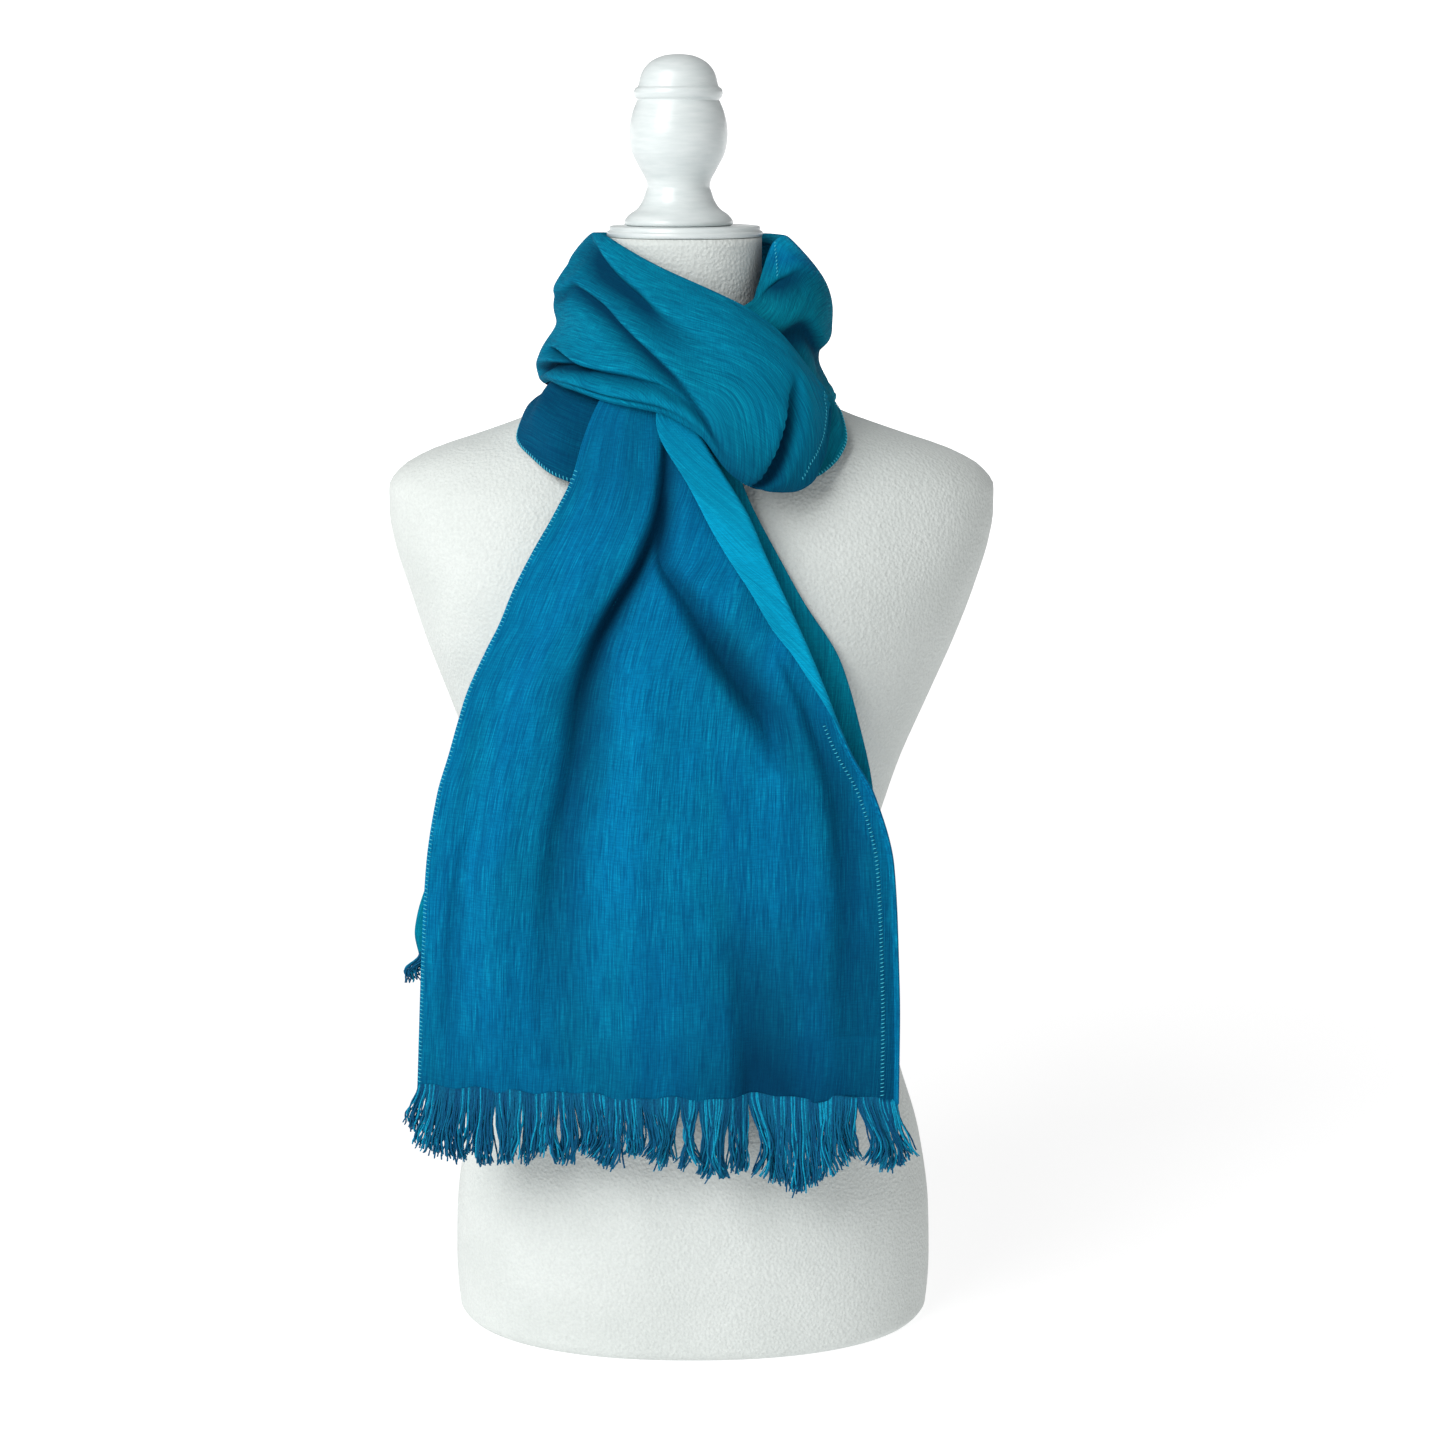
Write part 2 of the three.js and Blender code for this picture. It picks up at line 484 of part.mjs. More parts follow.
// A hanging end whose right edge may be folded back over its front
function hangingEnd(sections, folds, { rows, flat, bend, strip }) {
  const top = sections[0].z;
  const bottom = sections[sections.length - 1].z;
  const pointAt = (share, j) => {
    const z = top + (bottom - top) * share;
    const value = (name) => column(sections, "z", (row) => row[name], z);
    const left = value("left");
    const right = value("right");
    const reach = right - (bend ? BEND_RADIUS : 0);
    if (j <= flat) {
      const x = left + ((reach - left) * j) / flat;
      return new THREE.Vector3(x, endDepth(sections, folds, x, z), z);
    }
    const turned = value("turned");
    const arc = Math.min(turned * BEND_SHARE, Math.PI * BEND_RADIUS);
    const beyond = ((turned - arc * BEND_LAP) * (j - flat - bend)) / strip;
    const along = j <= flat + bend ? (arc * (j - flat)) / bend : arc + beyond;
    const angle = Math.min(along, Math.PI * BEND_RADIUS) / BEND_RADIUS;
    const past = Math.max(0, along - Math.PI * BEND_RADIUS);
    const x = reach + BEND_RADIUS * Math.sin(angle) - past;
    const base = endDepth(sections, [], Math.min(x, reach), z);
    const edge = foldDepth(folds, "z", "x", z, reach) * Math.exp(-past / FOLD_FADE);
    return new THREE.Vector3(x, base + edge - BEND_RADIUS * (1 - Math.cos(angle)), z);
  };
  return wall(rows, flat + bend + strip, pointAt);
}

// Fringe: a narrow strip along the cut edge with strands that part below it
function fringe(sections, folds, count) {
  const edge = sections[sections.length - 1];
  const top = edge.z - SEAM;
  const solid = (geometry) => {
    geometry.deleteAttribute("normal");
    geometry.deleteAttribute("uv");
    const merged = mergeVertices(geometry, 1e-4);
    return new wasm.Manifold(new wasm.Mesh({
      numProp: 3,
      vertProperties: new Float32Array(merged.attributes.position.array),
      triVerts: new Uint32Array(merged.index.array),
    }));
  };
  const left = edge.left + FRINGE_MARGIN;
  const right = edge.right - FRINGE_MARGIN;
  const middle = (x) => endDepth(sections, folds, x, edge.z);
  const outline = new THREE.Shape();
  for (let i = 0; i <= EDGE_STEPS; i += 1) {
    const x = left + ((right - left) * i) / EDGE_STEPS;
    const method = i === 0 ? "moveTo" : "lineTo";
    outline[method](x, middle(x) - WALL / 2);
  }
  for (let i = EDGE_STEPS; i >= 0; i -= 1) {
    const x = left + ((right - left) * i) / EDGE_STEPS;
    outline.lineTo(x, middle(x) + WALL / 2);
  }
  const strip = new THREE.ExtrudeGeometry(outline, { depth: STRIP_HEIGHT, bevelEnabled: false });
  strip.translate(0, 0, top - STRIP_HEIGHT);
  let body = solid(strip);
  for (let i = 0; i < count; i += 1) {
    const share = (i + 0.5) / count;
    const x = left + STRAND_WIDTH + (right - left - 2 * STRAND_WIDTH) * share;
    const lock = Math.sin(i * 1.7) + Math.sin(i * 0.61 + 1);
    const drape = DRAPE.middle * Math.sin(Math.PI * share) + DRAPE.ends + DRAPE.slant * (share - 0.5);
    const uneven = UNEVEN.slow * Math.sin(i * 0.9) + UNEVEN.fast * Math.sin(i * 2.3);
    const length = FRINGE_LENGTH + drape + uneven;
    const root = new THREE.Vector3(x, middle(x), top - STRIP_HEIGHT + 1);
    const off = 2 * share - 1;
    const sway = LOCK_LEAN * lock + SPLAY * off * Math.abs(off) ** 3;
    const knee = root.clone().add(new THREE.Vector3(sway * KNEE.across, -KNEE.forward, -length * KNEE.down));
    const tip = root.clone().add(new THREE.Vector3(sway, TIP_LIFT * Math.sin(i * 1.3), -length));
    body = body.add(solid(strand([root, knee, tip])));
  }
  const { vertProperties, triVerts } = body.getMesh();
  const geometry = new THREE.BufferGeometry();
  geometry.setAttribute("position", new THREE.BufferAttribute(new Float32Array(vertProperties), 3));
  geometry.setIndex(new THREE.BufferAttribute(new Uint32Array(triVerts), 1));
  return geometry;
}

// A three-sided strand that thins towards its tip
function strand(stations) {
  const sides = 3;
  const positions = [];
  const index = [];
  stations.forEach((point, level) => {
    const radius = (STRAND_WIDTH / 2) * (1 - (0.5 * level) / (stations.length - 1));
    for (let k = 0; k < sides; k += 1) {
      const turn = (2 * Math.PI * k) / sides + Math.PI / 6;
      positions.push(point.x + radius * Math.cos(turn), point.y + radius * Math.sin(turn), point.z);
    }
  });
  for (let level = 0; level < stations.length - 1; level += 1) {
    for (let k = 0; k < sides; k += 1) {
      const a = level * sides + k;
      const b = level * sides + ((k + 1) % sides);
      index.push(a, a + sides, b, b, a + sides, b + sides);
    }
  }
  const foot = (stations.length - 1) * sides;
  index.push(0, 1, 2, foot, foot + 2, foot + 1);
  const geometry = new THREE.BufferGeometry();
  geometry.setAttribute("position", new THREE.Float32BufferAttribute(positions, 3));
  geometry.setIndex(index);
  return geometry;
}

// The smooth torso, closed by a flat base and a flat neck top
function torso(levels, around) {
  const positions = [];
  const index = [];
  const power = 2 / TORSO_ROUND;
  levels.forEach((z) => {
    const value = (name) => column(torsoSections, "z", (row) => row[name], z);
    for (let k = 0; k < around; k += 1) {
      const turn = (2 * Math.PI * k) / around;
      const wide = Math.sign(Math.cos(turn)) * Math.abs(Math.cos(turn)) ** power;
      const deep = Math.sign(Math.sin(turn)) * Math.abs(Math.sin(turn)) ** power;
      positions.push(value("shift") + value("half") * wide, deep * value(deep < 0 ? "front" : "back"), z);
    }
  });
  for (let level = 0; level < levels.length - 1; level += 1) {
    for (let k = 0; k < around; k += 1) {
      const next = (k + 1) % around;
      const a = level * around + k;
      const b = level * around + next;
      index.push(a, b, b + around, a, b + around, a + around);
    }
  }
  const base = positions.length / 3;
  positions.push(0, 0, levels[0], NECK_X, 0, levels[levels.length - 1]);
  const rim = (levels.length - 1) * around;
  for (let k = 0; k < around; k += 1) {
    const next = (k + 1) % around;
    index.push(base, next, k, base + 1, rim + k, rim + next);
  }
  const geometry = new THREE.BufferGeometry();
  geometry.setAttribute("position", new THREE.Float32BufferAttribute(positions, 3));
  geometry.setIndex(index);
  return geometry;
}

// A turned piece standing upright
function turned(outline, around) {
  const points = outline.map(([radius, height]) => new THREE.Vector2(radius, height));
  const geometry = new THREE.LatheGeometry(points, around);
  geometry.rotateX(Math.PI / 2);
  return geometry;
}

const group = new THREE.Group();
function piece(name, geometry, colour, roughness) {
  const material = new THREE.MeshStandardMaterial({ color: colour, roughness, metalness: 0 });
  const mesh = new THREE.Mesh(geometry, material);
  mesh.name = name;
  group.add(mesh);
  return mesh;
}

piece("form_torso", torso(torsoSections.map((row) => row.z), TORSO_SIDES), colours.jersey, 0.9);
piece("form_neck_cap", turned(capOutline, CAP_SIDES), colours.paint, 0.4).position.x = NECK_X;
piece("form_finial", turned(finialOutline, FINIAL_SIDES), colours.paint, 0.4).position.x = FINIAL_X;
piece("scarf_loop_upper", wrap(loopUpperSections, loopUpperFolds, UPPER_STEPS), colours.loop, 0.8);
piece("scarf_wrap_right", wrap(wrapRightSections, wrapRightFolds, WRAP_STEPS), colours.shade, 0.8);
piece("scarf_loop_lower", wrap(loopLowerSections, [], LOWER_STEPS), colours.shade, 0.8);
piece("scarf_end_front", hangingEnd(frontEndSections, frontEndFolds, FRONT_STEPS), colours.face, 0.8);
piece("scarf_end_rear", hangingEnd(rearEndSections, rearEndFolds, REAR_STEPS), colours.shade, 0.8);
piece("fringe_front", fringe(frontEndSections, frontEndFolds, FRONT_STRANDS), colours.fringe, 0.9);
piece("fringe_rear", fringe(rearEndSections, rearEndFolds, REAR_STRANDS), colours.fringe, 0.9);

export default group;
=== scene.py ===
# Looks of a fringed scarf in a pull-through loop on a limbless dress form
import math

import bpy
import numpy as np
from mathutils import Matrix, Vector


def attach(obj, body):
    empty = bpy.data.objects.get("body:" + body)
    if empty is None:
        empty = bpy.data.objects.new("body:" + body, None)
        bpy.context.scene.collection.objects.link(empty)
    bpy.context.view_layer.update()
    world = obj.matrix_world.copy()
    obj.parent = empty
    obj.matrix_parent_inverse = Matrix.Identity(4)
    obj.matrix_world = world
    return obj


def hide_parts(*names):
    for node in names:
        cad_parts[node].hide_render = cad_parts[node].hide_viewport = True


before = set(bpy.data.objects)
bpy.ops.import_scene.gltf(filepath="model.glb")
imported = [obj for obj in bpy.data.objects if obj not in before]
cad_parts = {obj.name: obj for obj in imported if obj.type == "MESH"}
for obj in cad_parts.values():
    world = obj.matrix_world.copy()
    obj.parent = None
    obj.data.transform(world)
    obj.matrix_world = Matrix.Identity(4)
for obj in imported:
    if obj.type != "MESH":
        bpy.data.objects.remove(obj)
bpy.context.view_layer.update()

# Driving sizes in millimetres, in the frame of the solids
MM = 0.001
CLOTH_WIDTH = 312.0
NECK_X = -4.0
FINIAL_X = -8.0
END_MIDDLE_X = -20.0
BEND_RADIUS = 2.6
TORSO_ROUND = 2.2
TORSO_TOP = 742.7
CLOTH = 1.2
HEM_WIDTH = 5.0
HEM_EXTRA = 0.7
YARN_PITCH = 0.95
YARN_RADIUS = 0.64
FRINGE_MARGIN = 0.5
STITCH_PITCH = 2.7
STITCH_LENGTH = 2.6
STITCH_LEAN = 0.9

# Where the loop's cloth starts, changes tables behind the neck and ends, in degrees
LOOP_START = 55.5
SEAM = -180.0
LOOP_END = 22.0 - 360.0

# Millimetres a degree round the neck: as the cloth's edge runs, and as its gathered yarns run
EDGE_PER_DEGREE = 1.9
YARN_PER_DEGREE = 2.6

# Share of a hanging end's own width in the run of its yarns; the rest fans out over a fixed width
OWN_WIDTH = 0.6
FRONT_FAN = 0.4 * CLOTH_WIDTH
REAR_FAN = 125.0
EDGE_FADE = 60

# A fold's width before and after its deepest line, as shares of the width in its table
LOOP_FOLD_SIDES = (0.5, 1.5)
WRAP_FOLD_SIDES = (0.5, 1.4)
END_FOLD_SIDES = (0.55, 1.4)

# Depth of a fold at which its painted shade is full, in the loops and in the front end
LOOP_DEEP = 8.5
FRONT_DEEP = 17

# Mesh steps: round and down the loops, down and across the hanging ends, along and round a yarn
LOOP_STEPS = (325, 150)
LOWER_STEPS = (150, 60)
FRONT_ROWS = 250
FRONT_FLAT = 150
FRONT_BEND = 14
FRONT_STRIP = 30
REAR_STEPS = (170, 110)
YARN_STEPS = (16, 5)
TORSO_STEPS = (170, 160)
TURNED_STEPS = 96

TORSO = [
    dict(z=0, half=160, front=101, back=103, shift=0),
    dict(z=5, half=164, front=105, back=107, shift=0),
    dict(z=37, half=166, front=106, back=109, shift=0),
    dict(z=75, half=165, front=107, back=111, shift=0),
    dict(z=126, half=158, front=107, back=111, shift=0),
    dict(z=178, half=143, front=105, back=106, shift=0),
    dict(z=250, half=126, front=99, back=91, shift=0),
    dict(z=329, half=122, front=96, back=80, shift=0),
    dict(z=371, half=132, front=102, back=82, shift=0),
    dict(z=408, half=148, front=110, back=87, shift=-3),
    dict(z=445, half=163, front=118, back=94, shift=-2),
    dict(z=480, half=177, front=119, back=99, shift=-1),
    dict(z=515, half=189, front=113, back=101, shift=0),
    dict(z=545, half=198, front=104, back=98, shift=0),
    dict(z=565, half=201, front=95, back=92, shift=0),
    dict(z=580, half=201, front=89, back=86, shift=0),
    dict(z=592, half=193, front=82, back=80, shift=0),
    dict(z=603, half=174, front=76, back=75, shift=0),
    dict(z=616, half=136, front=68, back=69, shift=0),
    dict(z=630, half=99, front=61.5, back=63, shift=-1),
    dict(z=645, half=76, front=57, back=58, shift=-2),
    dict(z=662, half=61, front=53.5, back=54, shift=-3),
    dict(z=685, half=52.5, front=51, back=51.5, shift=-4),
    dict(z=715, half=50.4, front=50.2, back=50.4, shift=-4),
    dict(z=742.7, half=50.4, front=50.2, back=50.4, shift=-4),
]

# Sections round the neck at each angle from the front towards +X: radius and height from rim to hem
SECTION = ("rim", "crest", "high", "middle", "low", "lip", "hem")
LOOP_UPPER = [
    (55.5, (108, 650), (109, 648.5), (110, 646), (111, 643.5), (112, 641), (113, 638.5), (113.5, 636)),
    (50, (103, 661), (105.5, 660), (110, 654), (114, 645), (117, 634), (118.5, 623), (119, 617)),
    (45, (98, 673), (101, 672.5), (109, 663), (117, 648), (122, 630), (124, 614), (124.5, 607)),
    (40, (93, 684), (96, 684), (107, 672), (119, 652), (127, 628), (128, 604), (126, 594)),
    (34, (87, 692), (90, 693.5), (104, 680), (120, 655), (131, 626), (130, 597), (124, 589)),
    (27, (81, 699), (84, 701.5), (101, 686), (119, 659), (133, 628), (134, 600), (126, 590)),
    (20, (76, 703.5), (79, 707), (98, 690), (116, 663), (130, 632), (134.5, 604), (128, 593.5)),
    (14, (72, 707), (75, 711), (95, 693), (113, 668), (127, 637), (131, 611), (125.5, 602)),
    (5, (68, 712), (71, 716), (91, 697), (108, 672), (120, 648), (123, 633), (116, 626.5)),
    (-8, (64, 718), (67, 722.5), (87, 702), (102, 677), (115, 656), (118.5, 645), (108.8, 639.2)),
    (-24, (60.5, 725), (63, 730), (84, 708), (96, 682), (110, 662), (116, 650), (109, 644.5)),
    (-43, (57, 732), (60, 737.5), (83, 713), (90, 686), (104, 668), (111, 656.5), (105, 651)),
    (-61, (55, 737), (60, 743), (85, 715), (86, 688), (98, 670), (103, 659), (97, 653)),
    (-75, (52.2, 738), (62, 744), (87.5, 707), (84.5, 686), (96, 669), (98, 656), (93, 650)),
    (-90, (52.2, 738), (64, 743.5), (88, 706), (84.5, 686), (96, 667), (97, 653), (91.5, 647)),
    (-115, (55, 738), (64, 743), (87, 712), (84, 688), (96, 664), (97, 646), (91, 639.5)),
    (-145, (57, 736), (66, 741), (88, 710), (87, 685), (97, 660), (98, 641), (92, 633.5)),
    (-180, (58, 735), (67, 740), (89, 709), (89, 683), (97, 656), (99, 638), (93, 631)),
]
WRAP_RIGHT = [
    (22, (72, 692), (75, 694), (84, 683), (92, 668), (100, 648), (108, 622), (111, 608)),
    (32, (70, 698), (73, 700.5), (84, 689), (92, 670), (102, 645), (115, 612), (119, 600)),
    (42, (67, 702), (70, 705.5), (86, 694), (93, 672), (102, 647), (117, 613), (122.3, 596)),
    (50, (62, 709), (66, 714), (87, 702), (95, 678), (101, 650), (116, 618), (123, 602)),
    (58, (61, 722), (65, 727), (87, 711), (96, 683), (98, 655), (115, 626), (121.5, 613)),
    (66, (62, 735), (66.5, 740), (90, 717), (96.5, 684), (95, 656), (106, 638), (111, 630)),
    (75, (61, 737), (68, 742), (92.5, 714), (96.5, 683), (92.5, 656), (98, 644), (100, 637.5)),
    (90, (58.5, 737), (68, 742), (92.5, 712), (96.5, 683), (91, 657), (97, 646), (98, 638.5)),
    (115, (55, 738), (66, 742), (91, 711), (96, 683), (94, 658), (98, 643), (97, 634.5)),
    (145, (57, 736), (67, 741), (90, 710), (93, 684), (96, 659), (99, 641), (95, 632.5)),
    (180, (58, 735), (67, 740), (89, 709), (89, 683), (97, 656), (99, 638), (93, 631)),
]
LOOP_LOWER = [
    (-100, (82, 658), (83, 653), (85, 646), (91, 640.3), (95, 637.5), (96.5, 635), (96, 631.5)),
    (-85, (82, 660), (84, 654), (88, 647), (94, 641.5), (98, 638.5), (101.5, 635), (101, 631)),
    (-75, (83, 661), (86, 655), (92, 647.5), (97, 641.5), (103, 637), (107, 632.5), (107.5, 628)),
    (-65, (86, 662), (89, 657), (98, 648), (106, 637), (112, 629), (116.5, 619), (118.5, 613.5)),
    (-56, (88, 660), (91, 655), (100, 645), (112, 635), (116, 624), (118.5, 613), (119, 607)),
    (-46, (90, 657), (93, 652), (101, 642), (111, 630), (117, 619), (118.5, 605.5), (118.5, 598)),
    (-37, (91, 655), (93, 650), (98, 641), (104, 628), (108, 615), (112, 600), (113, 592)),
    (-25, (89, 654), (90, 649), (93, 640), (96, 627), (99, 613), (102, 597), (103, 589)),
    (-10, (86, 654), (87, 649), (89, 640), (92, 626), (95, 612), (98, 597), (99, 589)),
    (16, (86, 654), (87, 649), (89, 640), (92, 626), (95, 612), (98, 597), (99, 589)),
]

# Folds pressed into a stretch: angle, share of the way down, depth and width as a share
LOOP_FOLDS = [
    [(-100, 0.14, 0, 0.05), (-72, 0.21, 5, 0.05), (-44, 0.28, 9, 0.055), (-22, 0.33, 9, 0.06),
     (-6, 0.4, 6, 0.07), (10, 0.44, 2.5, 0.09), (20, 0.47, 0, 0.1)],
    [(-100, 0.36, 0, 0.05), (-74, 0.34, 5, 0.042), (-41, 0.4, 8, 0.035), (-22, 0.48, 8, 0.035),
     (-6, 0.58, 8, 0.04), (0, 0.64, 7, 0.045), (8, 0.78, 5, 0.05), (15, 0.88, 0, 0.06)],
    [(-92, 0.8, 0, 0.06), (-72, 0.77, 9, 0.06), (-56, 0.74, 10, 0.05), (-31, 0.69, 7, 0.04),
     (-17, 0.67, 6, 0.04), (-9, 0.67, 5, 0.04), (0, 0.72, 3, 0.04), (8, 0.8, 0, 0.05)],
    [(-74, 0.63, 0, 0.028), (-64, 0.64, 8, 0.03), (-50, 0.665, 8, 0.03), (-40, 0.69, 3, 0.028),
     (-33, 0.71, 0, 0.028)],
    [(-60, 0.9, 0, 0.03), (-31, 0.86, 3, 0.03), (-9, 0.86, 3.5, 0.03), (8, 0.92, 0, 0.04)],
    [(20, 0.97, 5, 0.06), (23, 0.85, 9, 0.055), (26, 0.77, 11, 0.055), (29, 0.69, 11, 0.06),
     (33, 0.58, 8, 0.07), (40, 0.45, 0, 0.08)],
    [(-180, 0.45, 4, 0.07), (-140, 0.42, 6, 0.06), (-100, 0.3, 4, 0.06), (-84, 0.26, 0, 0.06)],
    [(-180, 0.72, 3, 0.06), (-140, 0.66, 5, 0.06), (-112, 0.6, 4, 0.05), (-96, 0.56, 0, 0.05)],
]
WRAP_FOLDS = [
    [(43, 0.2, 0, 0.05), (50, 0.24, 4, 0.045), (55, 0.27, 6, 0.045), (61, 0.3, 5, 0.045),
     (70, 0.32, 1.5, 0.05), (80, 0.33, 0, 0.05)],
    [(30, 0.4, 0, 0.07), (43, 0.44, 5, 0.07), (56, 0.47, 7, 0.06), (73, 0.58, 5, 0.06),
     (110, 0.54, 5, 0.07), (150, 0.48, 5, 0.07), (180, 0.45, 4, 0.07)],
    [(80, 0.8, 0, 0.06), (110, 0.78, 4, 0.06), (150, 0.74, 5, 0.06), (180, 0.72, 3, 0.06)],
]

# The hanging ends at each height
FRONT_END = [
    dict(z=662, left=-46, right=-2, turned=18, depth=95, bow=0.0052),
    dict(z=638, left=-60, right=0, turned=24, depth=101, bow=0.0048),
    dict(z=620, left=-67, right=9, turned=29, depth=108, bow=0.004),
    dict(z=598, left=-73.5, right=22.6, turned=28.5, depth=117, bow=0.0032),
    dict(z=575, left=-85.3, right=36.7, turned=30, depth=124.4, bow=0.0024),
    dict(z=553, left=-98, right=46.3, turned=27, depth=129.4, bow=0.0018),
    dict(z=528, left=-111, right=58, turned=22.2, depth=134.7, bow=0.0013),
    dict(z=508, left=-119.3, right=67.5, turned=20, depth=138, bow=0.0011),
    dict(z=490, left=-128.5, right=75.5, turned=14, depth=140, bow=0.0009),
    dict(z=464, left=-140.5, right=86.2, turned=8.4, depth=141.8, bow=0.0007),
    dict(z=450, left=-145, right=91.3, turned=6, depth=142, bow=0.0007),
    dict(z=426, left=-152, right=101.5, turned=5, depth=142.6, bow=0.0006),
    dict(z=400, left=-160, right=116, turned=5, depth=143, bow=0.0006),
    dict(z=353, left=-168, right=129, turned=5, depth=143, bow=0.0005),
    dict(z=294, left=-172.3, right=132.6, turned=5, depth=143, bow=0.0005),
    dict(z=247, left=-174.8, right=134, turned=5, depth=143, bow=0.0005),
    dict(z=200, left=-177, right=134, turned=5, depth=143, bow=0.0005),
]
REAR_END = [
    dict(z=646, left=-42, right=4, depth=94, bow=0.0052),
    dict(z=625, left=-50, right=17, depth=98, bow=0.0046),
    dict(z=609, left=-56, right=26.4, depth=101.5, bow=0.0036),
    dict(z=582, left=-70, right=37.5, depth=107, bow=0.0024),
    dict(z=541, left=-90, right=59.5, depth=116, bow=0.0015),
    dict(z=519, left=-101, right=72, depth=120, bow=0.0012),
    dict(z=482, left=-119, right=95.2, depth=122.5, bow=0.0009),
    dict(z=441, left=-136, right=107.6, depth=124, bow=0.0008),
    dict(z=400, left=-150, right=116.5, depth=124, bow=0.0007),
    dict(z=350, left=-165, right=121, depth=124, bow=0.0006),
    dict(z=312, left=-177, right=121, depth=124, bow=0.0005),
    dict(z=300, left=-178.5, right=120, depth=124, bow=0.0005),
    dict(z=284, left=-176, right=119, depth=124, bow=0.0005),
]

# Folds of a hanging end: height, place across, depth pushed back and width
FRONT_FOLDS = [
    [(640, -12, 2, 6), (585, -18, 11, 6), (550, -30, 15, 7), (519, -48, 17, 9), (494, -61, 16, 10),
     (462, -69, 14, 13), (423, -73, 11, 15), (378, -82, 9, 17), (300, -92, 5, 20), (220, -98, 1, 24)],
    [(590, -14, 0, 6), (550, -18, 8, 7), (519, 0, 11, 11), (487, 19, 14, 15), (462, 36, 13, 15),
     (440, 50, 8, 14), (412, 60, 0, 14)],
    [(500, 52, 0, 8), (462, 70, 5, 9), (424, 84, 8, 11), (378, 95, 7, 14), (320, 100, 4, 18),
     (240, 102, 1, 22)],
    [(560, -66, 0, 10), (510, -82, -5, 14), (450, -106, -6, 18), (360, -126, -5, 20),
     (260, -134, -3, 22), (200, -136, -1, 22)],
    [(500, -20, 0, 12), (455, -30, -5, 16), (400, -30, -6, 24), (300, -34, -5, 32),
     (200, -34, -5, 36)],
    [(350, 20, 0, 16), (270, 34, 5, 20), (200, 40, 7, 22)],
    [(420, -118, 0, 8), (350, -146, 3, 9), (280, -154, 3, 10), (220, -158, 0, 10)],
]
REAR_FOLDS = [
    [(560, -12, 0, 10), (460, 30, -3, 16), (380, 50, -4, 20), (284, 60, -5, 22)],
    [(420, -90, 0, 16), (340, -110, -4, 20), (284, -120, -5, 20)],
]

# Length of the fringe at shares of the way along the cut edge
FRONT_DROP = [
    (0, 28), (0.04, 40), (0.15, 47), (0.3, 44), (0.45, 39), (0.56, 45),
    (0.65, 53), (0.78, 61), (0.85, 53), (0.9, 41), (0.95, 49), (1, 36),
]
REAR_DROP = [(0, 16), (0.03, 12), (0.06, 14), (0.12, 44), (0.3, 55), (0.6, 50), (1, 44)]

# Yarns of the fringe: gap of the layers, outward flare at both sides, wave, and shares of odd ones
LAYER_GAP = 1.1
FLARE = 14
YARN_WAVE = 1.3
STRAY_YARNS = 0.06
BRIGHT_YARNS = 0.2

# Outlines of the turned parts: radius and height
CAP = [
    (0, 743), (49.5, 743), (50.6, 743.3), (51, 744.2), (51, 745.8), (50.6, 746.6),
    (49.6, 746.9), (49.2, 747.3), (49.4, 748.8), (48.9, 749.7), (47.8, 750), (0, 750),
]
FINIAL_FOOT = [(0, 750.3), (34.2, 750.3), (35.2, 750.8), (35.6, 751.8), (35.4, 753.2)]
FINIAL_BODY = [
    (35.4, 753.2), (34.6, 754.6), (32, 757.4), (27, 761), (23.6, 766), (22, 770.5),
    (20.9, 773.4), (20.6, 775.6), (21.6, 780), (26, 788), (30.4, 797), (32, 806.6),
    (31.6, 815), (29.8, 822.5), (27.6, 828), (26.7, 829.8),
]
FINIAL_BEAD = [(26.7, 829.8), (27.0, 830.8), (28.3, 832.1), (28.9, 834.8), (28.1, 837.3), (26.4, 838.4)]
FINIAL_DOME = [
    (26.4, 838.4), (25.9, 839.6), (25.3, 842), (24.2, 846), (21.8, 850.4),
    (17.2, 854.8), (10.5, 857.9), (4, 858.95), (0, 859),
]

# Colours of the cloth where it is teal, where it is blue, and on its lighter side
CLOTH_BASE = ((0.001, 0.33, 0.385), (0.0006, 0.195, 0.41), (0.0015, 0.44, 0.74))
CLOTH_DARK = ((0.0005, 0.13, 0.175), (0.0004, 0.07, 0.19), (0.0008, 0.19, 0.36))
CLOTH_LIGHT = ((0.004, 0.5, 0.55), (0.003, 0.37, 0.62), (0.008, 0.58, 0.85))
CLOTH_PATCH = (0.0008, 0.175, 0.275)
# Painted shade: the dark colour mixed into the cloth in folds and where shadow falls
CLOTH_PAINTED_SHADE = (0.0005, 0.028, 0.075)
YARN_COLOURS = ((0.0006, 0.068, 0.175), (0.003, 0.3, 0.49))
THREAD_COLOURS = ((0.06, 0.52, 0.68), (0.1, 0.6, 0.75))

# Tones of the cloth: -1 is the teal, 0 the blue and 1 the lighter side
LOOP_TONE = -0.33
INSIDE_TONE = 0.8

# Studio in metres and degrees
CAMERA_PLACE = (0.019, -1.850, 0.813)
CAMERA_TILT = 12
CAMERA_LENS = 69.75
SUN_TOWARDS = (0.5, 0.62, -0.62)
SUN_WIDTH = 32
KEY_PLACE = (-1.0, -1.25, 1.25)
KEY_TARGET = (0, 0, 0.5)


